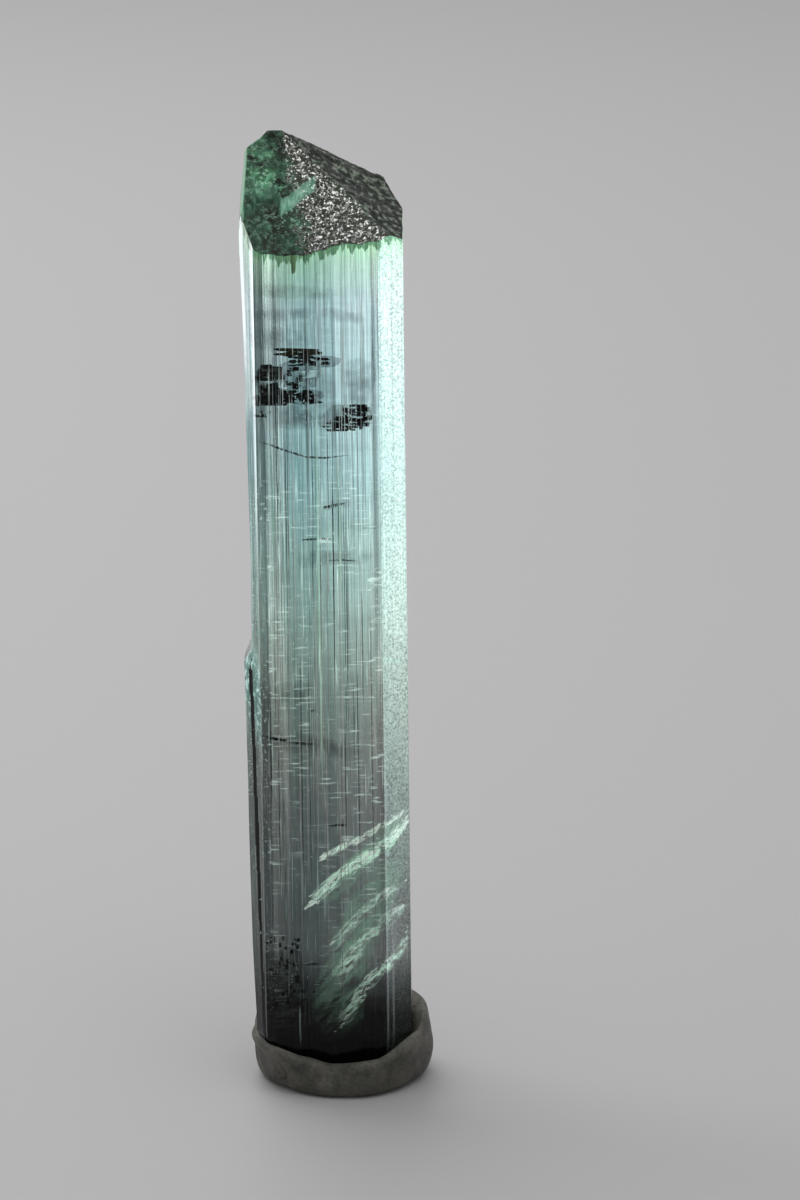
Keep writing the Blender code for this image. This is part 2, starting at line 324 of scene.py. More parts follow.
# the section at a height per column: the side faces, with every ridge's depth taken off inwards; a
# ridge's two zigzags take turns up the side, as 0.5 + 1.2 sin of the height and the place round it
def sectionPoints(face, part, along, height):
    xs, ys = sectionCorners(height)
    columns = np.arange(len(face))
    after = (face + 1) % len(xs)
    x = xs[face, columns] * (1 - part) + xs[after, columns] * part
    y = ys[face, columns] * (1 - part) + ys[after, columns] * part
    direction = np.radians([d for d, _ in crystalShape["faces"]])[face]
    calm = np.ones(len(xs))
    calm[list(crystalShape["calmFaces"])] = list(crystalShape["calmFaces"].values())
    depth = 0.0
    for number, (pitch, deep, seed) in enumerate(crystalShape["ridges"]):
        early, late = zigzag(along, pitch, seed), zigzag(along, pitch, seed + 50)
        turnover = np.clip(0.5 + 1.2 * np.sin(height * 0.13 + 2.1 * number + 0.9 * along), 0, 1)
        depth = depth + deep * calm[face] * (early * (1 - turnover) + late * turnover)
    depth = depth - crystalShape["ridgeLift"] * calm[face]
    return x - np.cos(direction) * depth, y - np.sin(direction) * depth


# points beyond the break plane n . p = n . p0 are drawn level towards the axis until they lie on it
def breakFoot(x, y, z):
    turn, slope, (px, py, pz) = crystalShape["footBreak"]
    turn, slope = math.radians(turn), math.radians(slope)
    nx, ny, nz = math.sin(slope) * math.cos(turn), math.sin(slope) * math.sin(turn), math.cos(slope)
    across = nx * x + ny * y
    room = nx * px + ny * py + nz * (pz - z)
    share = np.where(across > 1e-6, np.clip(room / np.maximum(across, 1e-6), 0, 1), 1.0)
    return x * share, y * share


# each tip face's height over a point: z0 - tan(slope) times the way from its own point down its direction
def tipPlanes(x, y):
    heights = []
    for direction, slope, (px, py, pz) in crystalShape["tipFaces"]:
        turn, steep = math.radians(direction), math.tan(math.radians(slope))
        heights.append(pz - steep * ((x - px) * math.cos(turn) + (y - py) * math.sin(turn)))
    return np.stack(heights)


# distance to the step's outline, positive inside it: nearest point of every edge, and edges crossed
def insideStep(x, y):
    outline = np.array(crystalShape["stepOutline"])
    inside, near = np.zeros(x.shape, bool), np.full(x.shape, 99.0)
    for (x0, y0), (x1, y1) in zip(outline, np.roll(outline, -1, 0)):
        dx, dy = x1 - x0, y1 - y0
        t = np.clip(((x - x0) * dx + (y - y0) * dy) / (dx * dx + dy * dy), 0, 1)
        near = np.minimum(near, np.hypot(x - x0 - t * dx, y - y0 - t * dy))
        level = dy if dy else 1e-9
        inside ^= ((y0 > y) != (y1 > y)) & (x < x0 + (y - y0) * dx / level)
    return np.where(inside, near, -near)


# the tip is the lowest of its planes, less the step, less three sizes of etched lumps
def tipHeight(x, y):
    step = np.clip(0.5 + 0.5 * insideStep(x, y) / crystalShape["stepEase"], 0, 1)
    (x0, y0), (x1, y1) = crystalShape["stepOutline"][8:10]
    length = math.hypot(x1 - x0, y1 - y0)
    rightEdge = ((x - x0) * (y1 - y0) - (y - y0) * (x1 - x0)) / length
    down = ((x - x0) * (x1 - x0) + (y - y0) * (y1 - y0)) / length
    wide, clear = crystalShape["fade"]
    step = step * np.clip(rightEdge / (wide * np.clip(down / clear, 0.02, 1)), 0, 1)
    height = tipPlanes(x, y).min(0) - crystalShape["stepDepth"] * step + crystalShape["etchLift"]
    for cell, deep, seed in crystalShape["etch"]:
        height = height - deep * (0.5 + latticeNoise(x + 20, 0.75 * y + 20, cell, seed))
    return np.minimum(height, crystalShape["top"])


# rings of (face, part across it) at rising heights, the last ones evenly up to the rim, which is found by
# laying the section on the tip three times; then the tip's rings, the rim shrunk towards the axis
def crystalGrid():
    columns = crystalShape["columns"]
    xs, ys = sectionCorners(np.full(1, crystalShape["spreadAt"]))
    sides = np.hypot(np.roll(xs, -1, 0) - xs, np.roll(ys, -1, 0) - ys)[:, 0]
    counts = np.maximum(np.round(sides / sides.sum() * columns).astype(int), 2)
    counts[0] += columns - counts.sum()
    face = np.repeat(np.arange(len(counts)), counts)
    part = np.concatenate([np.arange(n) / n for n in counts])
    along = np.concatenate([[0.0], np.cumsum(sides)])[face] + part * sides[face]
    rim = np.full(columns, crystalShape["rimGuess"])
    for _ in range(3):
        rim = tipHeight(*sectionPoints(face, part, along, rim))
    rows = []
    for height in np.concatenate([np.linspace(*ring) for ring in crystalShape["rings"]]):
        height = np.full(columns, height)
        rows.append((*breakFoot(*sectionPoints(face, part, along, height), height), height))
    top = crystalShape["rings"][-1][1]
    for share in np.linspace(0, 1, crystalShape["rimRings"] + 1)[1:]:
        height = top + (rim - top) * share
        rows.append((*sectionPoints(face, part, along, height), height))
    x, y, z = rows[0]
    foot = [(x * share, y * share, z) for share in crystalShape["footRings"]]
    side = np.array(foot + rows)
    shrink = np.linspace(1, 0, crystalShape["tipRings"] + 1)[1:-1, None]
    tipX, tipY = side[-1, 0] * shrink, side[-1, 1] * shrink
    x, y = np.concatenate([side[:, 0], tipX]), np.concatenate([side[:, 1], tipY])
    z = np.concatenate([side[:, 2], tipHeight(tipX, tipY)])
    grid = np.clip(toFrame(x, y, z), np.array(cadLow) + 1e-5, np.array(cadHigh) - 1e-5)
    middle = tipHeight(np.zeros((1, 1)), np.zeros((1, 1)))[0, 0]
    poles = toFrame(0.0, 0.0, crystalShape["foot"]), toFrame(0.0, 0.0, middle)
    return grid, poles, len(side), x, y, rim - z, face, part


# the sides, slots by face (2 the frosted bevel, 3 the back, 4 the seam), and the tip in slot 1; values
# are carried by the points, the two poles last
def makeCrystal():
    grid, poles, sideRows, x, y, below, face, part = crystalGrid()
    points, quads, fans = closedRings(grid, *poles)
    columns = crystalShape["columns"]
    quadRow = np.arange(len(quads)) // columns
    tip = np.concatenate([quadRow >= sideRows - 1, np.zeros(columns, bool), np.ones(columns, bool)])
    piece = fillMesh("crystalBody", points, quads, fans, tip)
    slot = np.zeros(len(crystalShape["faces"]), int)
    slot[crystalShape["frostedFace"]], slot[crystalShape["backFaces"]] = 2, 3
    slots = np.where(seamQuads(face, part, below), 4, slot[face]).ravel()
    slots = np.where(tip, 1, np.append(slots, [3] * 2 * columns))
    piece.data.polygons.foreach_set("material_index", slots.astype(np.int32))
    addPointValue(piece.data, "below", np.append(below.ravel(), [crystalShape["poleBelow"], 0.0]))
    start = sideRows * columns
    for name, share in edgeShares(face, part, below[:sideRows]).items():
        addPointValue(piece.data, name, np.append(share.ravel(), np.zeros(len(points) - start)))
    for name, share in tipShares(x[sideRows:], y[sideRows:]).items():
        addPointValue(piece.data, name, np.concatenate([np.zeros(start), share.ravel(), [0.0, 0.0]]))
    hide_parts("crystal")
    print("crystal", len(points), "points")
    return piece


# the dark seam low on the left bevel: quads whose part across it is near a line that leans with the
# height
def seamQuads(face, part, below):
    height = crystalShape["rimMiddle"] - below[:-1]
    bevel, middle, at, slant, near, top, fade = crystalShape["seam"]
    near = near * np.clip((top - height) / fade, 0, 1)
    return (face == bevel)[None, :] & (np.abs(part[None, :] - middle - (at - height) * slant) < near)


# streaks along the side faces: value, faces, its strength at heights in mm, its share at parts across the
# face; the bright ones are painted highlights and the ledge ones a painted sheen under the ledge, in the
# glow
edgeStreaks = [
    ("dark", (9, 10), [(25, 0.50), (28, 0.85), (30.6, 0.85), (31.6, 0)], [(0, 1)]),
    ("dark", (11,), [(14, 0.50), (27, 0.86), (30, 0.86), (33, 0.662), (38, 0.662), (44, 0.86)], [(0, 1)]),
    (
        "dark", (0,), [(14, 0.30), (27, 0.55), (30, 0.55), (33, 0.4125), (38, 0.4125), (44, 0.55)],
        [(0.11, 1), (0.17, 0)],
    ),
    (
        "dark", (10,), [(31, 0), (33, 0.6), (47, 0.6), (53, 0)],
        [(0.105, 0), (0.355, 1), (0.605, 1), (0.855, 0)],
    ),
    ("dark", (1,), [(31, 0), (34, 0.70)], [(0.40, 0), (0.56, 1), (0.72, 1), (0.88, 0)]),
    (
        "dark", (1,), [(8, 0), (16, 0.65), (29, 0.65), (32, 0)],
        [(0.575, 0), (0.725, 1), (0.875, 1), (1.025, 0)],
    ),
    ("bright", (10,), [(38, 0), (46, 1)], [(0.72, 0), (0.84, 1), (0.96, 1), (1.08, 0)]),
    ("bright", (10,), [(50, 0), (54, 1)], [(-0.11, 0), (0.03, 1), (0.17, 1), (0.31, 0)]),
    (
        "bright", (10,), [(25, 0), (28, 0.5), (31, 0.5), (32, 0)],
        [(-0.045, 0), (0.005, 1), (0.055, 1), (0.105, 0)],
    ),
    (
        "bright", (2,), [(4, 0), (7, 0.14), (25, 0.14), (31, 0)],
        [(-0.0125, 0), (0.0225, 1), (0.0575, 1), (0.0925, 0)],
    ),
    (
        "bright", (2,), [(4, 0), (7, 0.14), (12, 0.14), (16, 0)],
        [(0.225, 0), (0.255, 1), (0.285, 1), (0.315, 0)],
    ),
    ("ledge", (10,), [(25.5, 0), (28, 0.8), (31, 0.8), (32.4, 0)], [(0, 1)]),
    ("ledge", (9,), [(25.5, 0), (28, 0.8), (31, 0.8), (32.4, 0)], [(0.7, 0), (1, 1)]),
]


# each value is the sum of its streaks, and a streak is its strength at the height times its share across
def edgeShares(face, part, below):
    height = crystalShape["rimMiddle"] - below
    shares = {}
    for name, faces, heights, parts in edgeStreaks:
        streak = between(height, heights) * (between(part, parts) * np.isin(face, faces))
        shares[name] = shares.get(name, 0.0) + streak
    return shares


# where the tip's finishes lie: the bearing from the apex in degrees, mm inside the step's outline, mm
# from it, mm to the right, mm that the steepest plane lies below the others, each with the finish's share
# there; they are painted glints, painted shade, the riser, a painted shadow and a painted edge light
tipFinishes = {
    "spark": [("bearing", [(-86, 0), (-60, 1), (-38, 1), (-33, 0)])],
    "shade": [("bearing", [(-38, 0), (-34, 1), (80, 1), (100, 0)])],
    "riser": [
        ("wall", [(0, 1), (0.10, 0)]), ("right", [(-0.42, 1), (-0.30, 0)]),
        ("right", [(-2.77, 0.2), (-2.65, 1)]),
    ],
    "stepShadow": [
        ("inside", [(0, 0), (0.15, 1), (0.55, 1), (1.65, 0)]),
        ("right", [(-3.6, 0), (-2.8, 1), (0.6, 1), (1.4, 0)]),
    ],
    "paintedEdgeLight": [("steep", [(-0.42, 0), (-0.07, 1)])],
}


# a finish's share is the product of its shares over each measure
def tipShares(x, y):
    inside, planes = insideStep(x, y), tipPlanes(x, y)
    measures = {
        "bearing": np.degrees(np.arctan2(y - apex[1], x - apex[0])), "inside": inside,
        "wall": np.abs(inside),
        "right": x, "steep": planes[:-1].min(0) - planes[-1],
    }
    return {
        name: np.prod([between(measures[key], knots) for key, knots in rows], 0)
        for name, rows in tipFinishes.items()
    }


# Shader helpers

# from 0-255 to linear light: c / 12.92 for dark tones, ((c + 0.055) / 1.055)^2.4 for the others
def linear(tone):
    c = np.array(tone) / 255.0
    out = np.where(c <= 0.04045, c / 12.92, ((c + 0.055) / 1.055) ** 2.4)
    return (*[float(v) for v in out], 1.0)


# a number stands for a linear grey, three numbers for a tone from 0 to 255
def asColour(value):
    if isinstance(value, (int, float)):
        return (value, value, value, 1.0)
    return value if isinstance(value, bpy.types.NodeSocket) or len(value) == 4 else linear(value)


# a socket is linked to another one, or holds a plain value
def feed(tree, socket, value):
    if isinstance(value, bpy.types.NodeSocket):
        tree.links.new(value, socket)
    else:
        socket.default_value = value


# a node with its settings, and its inputs fed by name or number
def addNode(tree, kind, inputs=None, **settings):
    node = tree.nodes.new(kind)
    for name, value in settings.items():
        setattr(node, name, value)
    for name, value in (inputs or {}).items():
        feed(tree, node.inputs[name], value)
    return node


# a sum, difference, product or the like of one or two numbers, cut to 0-1 where asked
def calc(tree, kind, a, b=0.5, clamp=False):
    return addNode(tree, "ShaderNodeMath", {0: a, 1: b}, operation=kind, use_clamp=clamp).outputs[0]


# a product of numbers
def times(tree, first, *others):
    for other in others:
        first = calc(tree, "MULTIPLY", first, other)
    return first


# a (1 - share) + b share, where the blend MULTIPLY puts a x b in place of b
def mixColour(tree, share, a, b, blend="MIX"):
    inputs = {0: share, 6: asColour(a), 7: asColour(b)}
    return addNode(tree, "ShaderNodeMix", inputs, data_type="RGBA", blend_type=blend).outputs[2]


# a product of colours
def tint(tree, first, *others):
    for other in others:
        first = mixColour(tree, 1.0, first, other, "MULTIPLY")
    return first


# straight lines between colours at known values
def ramp(tree, value, stops):
    node = addNode(tree, "ShaderNodeValToRGB", {"Fac": value})
    stopList = node.color_ramp.elements
    while len(stopList) < len(stops):
        stopList.new(0.5)
    for stop, (place, colour) in zip(stopList, stops):
        stop.position, stop.color = place, asColour(colour)
    return node.outputs["Color"]


# the place on the piece, in its own coordinates
def objectPlace(tree):
    return addNode(tree, "ShaderNodeTexCoord").outputs["Object"]


# its three numbers
def splitPlace(tree, place):
    return addNode(tree, "ShaderNodeSeparateXYZ", {0: place}).outputs


# a value that the mesh carries
def pointValue(tree, name):
    return addNode(tree, "ShaderNodeAttribute", attribute_name=name).outputs["Fac"]


# layered noise of a place
def noise(tree, place, scale, detail, roughness):
    inputs = {"Vector": place, "Scale": scale, "Detail": detail, "Roughness": roughness}
    return addNode(tree, "ShaderNodeTexNoise", inputs).outputs[0]


# (value - low) / (high - low), cut to 0-1
def spread(tree, value, low, high):
    return addNode(
        tree, "ShaderNodeMapRange", {"Value": value, "From Min": low, "From Max": high},
    ).outputs[0]


# a group takes a place and its named settings, and puts out numbers and, under that name, a colour
def newGroup(name, settings, results):
    tree = bpy.data.node_groups.new(name, "ShaderNodeTree")
    tree.interface.new_socket("Vector", in_out="INPUT", socket_type="NodeSocketVector")
    for label, value in settings.items():
        tree.interface.new_socket(
            label, in_out="INPUT", socket_type="NodeSocketFloat",
        ).default_value = value
    for label in results:
        kind = "NodeSocketColor" if label == "Color" else "NodeSocketFloat"
        tree.interface.new_socket(label, in_out="OUTPUT", socket_type=kind)
    return tree, tree.nodes.new("NodeGroupInput").outputs, tree.nodes.new("NodeGroupOutput").inputs


# a group's mask is its noise spread between Low and High, its height the noise itself
def finishGroup(tree, enter, leave, place, detail, roughness):
    height = noise(tree, place, enter["Scale"], detail, roughness)
    feed(tree, leave["Mask"], spread(tree, height, enter["Low"], enter["High"]))
    feed(tree, leave["Height"], height)
    return tree


# lines along the crystal: noise of (x - slant z, y, stretch z)
def striationGroup():
    settings = {"Scale": 6000.0, "Stretch": 0.016, "Low": 0.35, "High": 0.65, "Slant": -0.0115}
    tree, enter, leave = newGroup("striation", settings, ("Mask", "Height"))
    parts = splitPlace(tree, enter["Vector"])
    across = calc(tree, "SUBTRACT", parts["X"], times(tree, parts["Z"], enter["Slant"]))
    along = times(tree, parts["Z"], enter["Stretch"])
    flat = addNode(tree, "ShaderNodeCombineXYZ", {"X": across, "Y": parts["Y"], "Z": along})
    return finishGroup(tree, enter, leave, flat.outputs[0], 2.0, 0.5)


# thin winding lines: 1 where noise is 0.5, down to 0 where it is further off than the width
def windingGroup():
    tree, enter, leave = newGroup("winding", {"Scale": 3000.0, "Width": 0.05}, ("Mask",))
    height = noise(tree, enter["Vector"], enter["Scale"], 3.0, 0.55)
    off = calc(tree, "ABSOLUTE", calc(tree, "SUBTRACT", height, 0.5))
    inputs = {"Value": off, "From Max": enter["Width"], "To Min": 1.0, "To Max": 0.0}
    feed(tree, leave["Mask"], addNode(tree, "ShaderNodeMapRange", inputs).outputs[0])
    return tree


# grain of an etched or kneaded surface: plain noise
def grainGroup():
    tree, enter, leave = newGroup("grain", {"Scale": 3000.0, "Low": 0.4, "High": 0.6}, ("Mask", "Height"))
    return finishGroup(tree, enter, leave, enter["Vector"], 4.0, 0.6)


# wisps: noise drawn out along a line rising to the right, of the place turned about Y, then shrunk along
# it
def wispGroup():
    tree, enter, leave = newGroup("wisp", {"Scale": 4200.0, "Low": 0.4, "High": 0.6}, ("Mask", "Height"))
    turn = {"Vector": enter["Vector"], "Rotation": (0.0, math.radians(44), 0.0)}
    turned = addNode(tree, "ShaderNodeMapping", turn, vector_type="POINT").outputs[0]
    drawn = addNode(tree, "ShaderNodeVectorMath", {0: turned, 1: (0.2, 0.5, 1.0)}, operation="MULTIPLY")
    return finishGroup(tree, enter, leave, drawn.outputs[0], 4.0, 0.65)


# the masks and heights of a piece's patterns, each a group at the given place with its own settings
def usePatterns(tree, place, patterns):
    masks, heights = {}, {}
    for name, (group, settings) in patterns.items():
        out = addNode(
            tree, "ShaderNodeGroup", {"Vector": place, **settings}, node_tree=groups[group],
        ).outputs
        masks[name], heights[name] = out["Mask"], out.get("Height")
    return masks, heights


# a material with its Principled shader, whose inputs are fed by name
def newMaterial(name, inputs=None):
    made = bpy.data.materials.new(name)
    made.use_nodes = True
    tree = made.node_tree
    shader = tree.nodes["Principled BSDF"]
    for key, value in (inputs or {}).items():
        feed(tree, shader.inputs[key], value)
    return made, tree, shader


# Crystal's finish

crystalLook = {
    # height in mm and the body's tone there: dark growth zones at the foot, lighter upwards with painted
    # light from above
    "zones": [
        (0.0, (0, 0, 0)), (3.6, (8, 9, 8)), (6.2, (66, 66, 64)), (9.0, (112, 112, 110)),
        (14.0, (126, 129, 126)),
        (21.0, (158, 151, 148)), (26.5, (184, 184, 175)), (31.5, (212, 224, 212)),
        (37.0, (222, 246, 238)),
        (43.5, (220, 253, 253)), (50.0, (226, 250, 255)), (56.0, (238, 252, 255)),
        (58.2, (236, 255, 248)),
        (60.5, (232, 255, 240)),
    ],
    "mint": (238, 255, 226),
    "mintDark": (126, 184, 146),
    "mintReach": 3.8,  # how far the mint band reaches below the rim, mm
    # tone of the scratches painted as glints
    "scratchGlintTone": (206, 230, 222),
    "edgeDark": (6, 8, 8),
    # tone of the painted highlight streaks
    "paintedHighlightTone": (196, 200, 206),
    # tones of the painted sheen under the ledge
    "ledgeSheenDark": (30, 84, 78),
    "ledgeSheenLight": (170, 212, 204),
    "lineStops": (0.0, 0.30, 0.40, 0.60, 0.68),
    # share of plain tone in the lines: part of the height
    "lineCalm": [(0.12, 0.60), (0.45, 0.45), (0.72, 0.0)],
    "lineTone": 0.90,
    "glowStreak": 0.60,
    "glowMost": 2.5,  # no gain is larger
    "glowLean": 0.0115,  # the gains lean with the crystal, as x + this x z
    "glowWide": 12.0,  # mm that the gains reach across
    # level scratches, painted as glints in the glow, by height
    "levelLines": [(0.07, 0.0), (0.2, 0.4), (0.4, 1.0), (0.7, 1.0), (0.8, 0.15)],
    "uprightLines": [(0.07, 0.0), (0.20, 0.25), (0.60, 1.0)],
    "toothReach": 1.05,  # mm that the longest teeth hang below the rim
    "toothEase": 0.12,
    "waver": 0.8,
    "sidePatterns": {
        "broad": ("striation", {"Scale": 1300.0, "Low": 0.30, "High": 0.60}),
        "fine": ("striation", {"Scale": 7600.0, "Stretch": 0.004, "Low": 0.3, "High": 0.7}),
        "comb": ("striation", {"Scale": 2600.0, "Stretch": 0.12, "Low": 0.3, "High": 0.7}),
        "upright": ("striation", {"Scale": 8200.0, "Stretch": 0.03, "Low": 0.60, "High": 0.72}),
        "frost": ("grain", {"Scale": 6500.0, "Low": 0.36, "High": 0.62}),
        "bits": ("grain", {"Scale": 2400.0, "Low": 0.50, "High": 0.62}),
        "patch": ("grain", {"Scale": 330.0, "Low": 0.42, "High": 0.56}),
    },
    "turnedPatterns": {
        "level": (
            "striation", {"Scale": 5600.0, "Stretch": 0.10, "Low": 0.58, "High": 0.70, "Slant": 0.02},
        ),
    },
    "tipPatterns": {
        "lumps": ("grain", {"Scale": 750.0, "Low": 0.43, "High": 0.57}),
        "bits": ("grain", {"Scale": 2900.0, "Low": 0.47, "High": 0.55}),
        # painted shade in patches
        "shadePatches": ("grain", {"Scale": 420.0, "Low": 0.42, "High": 0.58}),
        "points": ("grain", {"Scale": 5200.0, "Low": 0.57, "High": 0.63}),
        "broken": ("grain", {"Scale": 2600.0, "Low": 0.43, "High": 0.57}),
        "blotches": ("grain", {"Scale": 2300.0, "Low": 0.51, "High": 0.66}),
        "rims": ("winding", {"Scale": 2700.0, "Width": 0.052}),
        "glitter": ("winding", {"Scale": 3600.0, "Width": 0.050}),
        "walls": ("striation", {"Scale": 3200.0, "Stretch": 0.3, "Low": 0.4, "High": 0.6}),
    },
    # finishes of the side faces: tones of fine lines from dark to light, tone of broad bands, height in
    # mm and grey of the painted glow that stands for light travelling inside and leaving there, its share
    # of plain tone, the painted glow under the rim, place across in mm and gain of the painted glow,
    # share of grains, share of white in the tint, share of scratches painted as glints
    "finishes": {
        "tourmaline": {
            "lines": (0.28, 0.48, 0.86, 0.94, 1.0), "bands": 0.85, "roughness": 0.05,
            "glow": [(0, 0), (60, 0)],
            "plain": 0.0, "tone": (255, 255, 255), "rim": (122, 146, 120), "gains": [(-6, 1.0), (6, 1.0)],
            "grains": 0.1,
            "white": 0.0, "scratchGlintShare": 0.45,
        },
        "frosted tourmaline": {
            "lines": (0.60, 0.80, 0.95, 0.98, 1.0), "bands": 0.95, "roughness": 0.30,
            "glow": [
                (0, 0), (6, 8), (9, 32), (14, 56), (21, 130), (27, 174), (31, 182), (36, 190), (44, 184),
                (52, 222),
                (59, 234),
            ],
            "plain": 0.8, "tone": (216, 255, 238), "rim": (220, 240, 222), "gains": [(-6, 1.0), (6, 1.0)],
            "grains": 0.8,
            "white": 0.55, "scratchGlintShare": 0.40,
        },
        "tourmaline back": {
            "lines": (0.28, 0.48, 0.86, 0.94, 1.0), "bands": 0.85, "roughness": 0.05,
            "glow": [
                (0, 0), (4, 16), (6, 64), (8.5, 116), (11, 112), (14, 106), (21, 108), (26.5, 122),
                (31.5, 142),
                (37, 158), (44, 168), (52, 168), (60, 162),
            ],
            "plain": 0.7, "tone": (255, 255, 255), "rim": (204, 244, 196),
            "gains": [
                (-3.0, 0.8), (-1.5, 1.05), (-0.4, 1.1), (0.7, 1.7), (1.7, 2.0), (3.0, 1.7), (5.0, 1.5),
            ],
            "grains": 0.1, "white": 0.0, "scratchGlintShare": 0.0,
        },
    },
    "zoneTop": 62.0,
    "teeth": (26, 56, 38),
    "tipDark": (3, 18, 9),
    "tipMid": (100, 176, 132),
    "tipRim": (200, 240, 214),
    # painted edge light of the steep facet
    "paintedEdgeLight": (176, 228, 196),
    "pointGlow": 0.45,
    # tone of the painted shadow under the step and of the painted shade near the rim
    "tipShadeTone": (22, 26, 16),
    "rimReach": 2.2,  # the etched face is darker within this of its rim, mm
    "riser": (126, 196, 166),
    "riserLight": (200, 255, 228),
    # painted glints of the sparkling band
    "sparkDark": (52, 54, 42),
    "sparkLight": (255, 255, 250),
    "shadeDark": (12, 18, 13),
    "shadeLight": (142, 152, 138),
    "tipRoughness": 0.30,
    # painted shade in patches and near the rim, and the shares of the painted shadow and edge light
    "shadePatchTone": 0.20,
    "stepShadowShare": 0.8,
    "rimShare": 1.2,
    "edgeLightShare": 0.95,
    "lineBump": (0.3, 0.05),  # strength, distance in mm
    "tipBump": (0.4, 0.04),
    "specular": 0.22,  # share of the plain reflection that is kept
    "transmission": 1.0,
    "tipTransmission": 0.12,
    "absorbTone": (0.78, 0.94, 0.94, 1.0),
    "absorbDensity": 20.0,
}


# growth zones and painted light from above: the tone at a height, times 1 + waver x (noise of the
# squeezed place - 0.56), cut to 0-1
def zoneGroup():
    tree, enter, leave = newGroup("zonesAndTopLight", {"Waver": 0.2}, ("Color",))
    top = crystalLook["zoneTop"]
    share = calc(tree, "DIVIDE", splitPlace(tree, enter["Vector"])["Z"], top * mm)
    body = ramp(tree, share, [(z / top, tone) for z, tone in crystalLook["zones"]])
    squeeze = addNode(
        tree, "ShaderNodeVectorMath", {0: enter["Vector"], 1: (0.16, 0.16, 1.0)}, operation="MULTIPLY",
    )
    layer = calc(tree, "SUBTRACT", noise(tree, squeeze.outputs[0], 900.0, 4.0, 0.65), 0.56)
    layer = calc(tree, "ADD", times(tree, layer, enter["Waver"]), 1.0, clamp=True)
    feed(tree, leave["Color"], tint(tree, body, layer))
    return tree


groups = {
    "striation": striationGroup(), "winding": windingGroup(), "grain": grainGroup(), "wisp": wispGroup(),
    "zonesAndTopLight": zoneGroup(),
}


# a crystal finish: light falls off inside as exp(-density (1 - tone) distance), the same in all of them
def finishCrystal(tree, shader, bumpHeight, bump, inputs):
    look = crystalLook
    strength, distance = bump
    normal = addNode(
        tree, "ShaderNodeBump", {"Height": bumpHeight, "Strength": strength, "Distance": distance * mm},
    )
    inputs = {
        **inputs, "Normal": normal.outputs[0], "Emission Strength": 1.0, "IOR": glassIndex,
        "Specular Tint": asColour(look["specular"]),
    }
    for key, value in inputs.items():
        feed(tree, shader.inputs[key], value)
    absorb = {"Color": look["absorbTone"], "Density": look["absorbDensity"]}
    out = next(n for n in tree.nodes if n.type == "OUTPUT_MATERIAL")
    feed(tree, out.inputs["Volume"], addNode(tree, "ShaderNodeVolumeAbsorption", absorb).outputs[0])


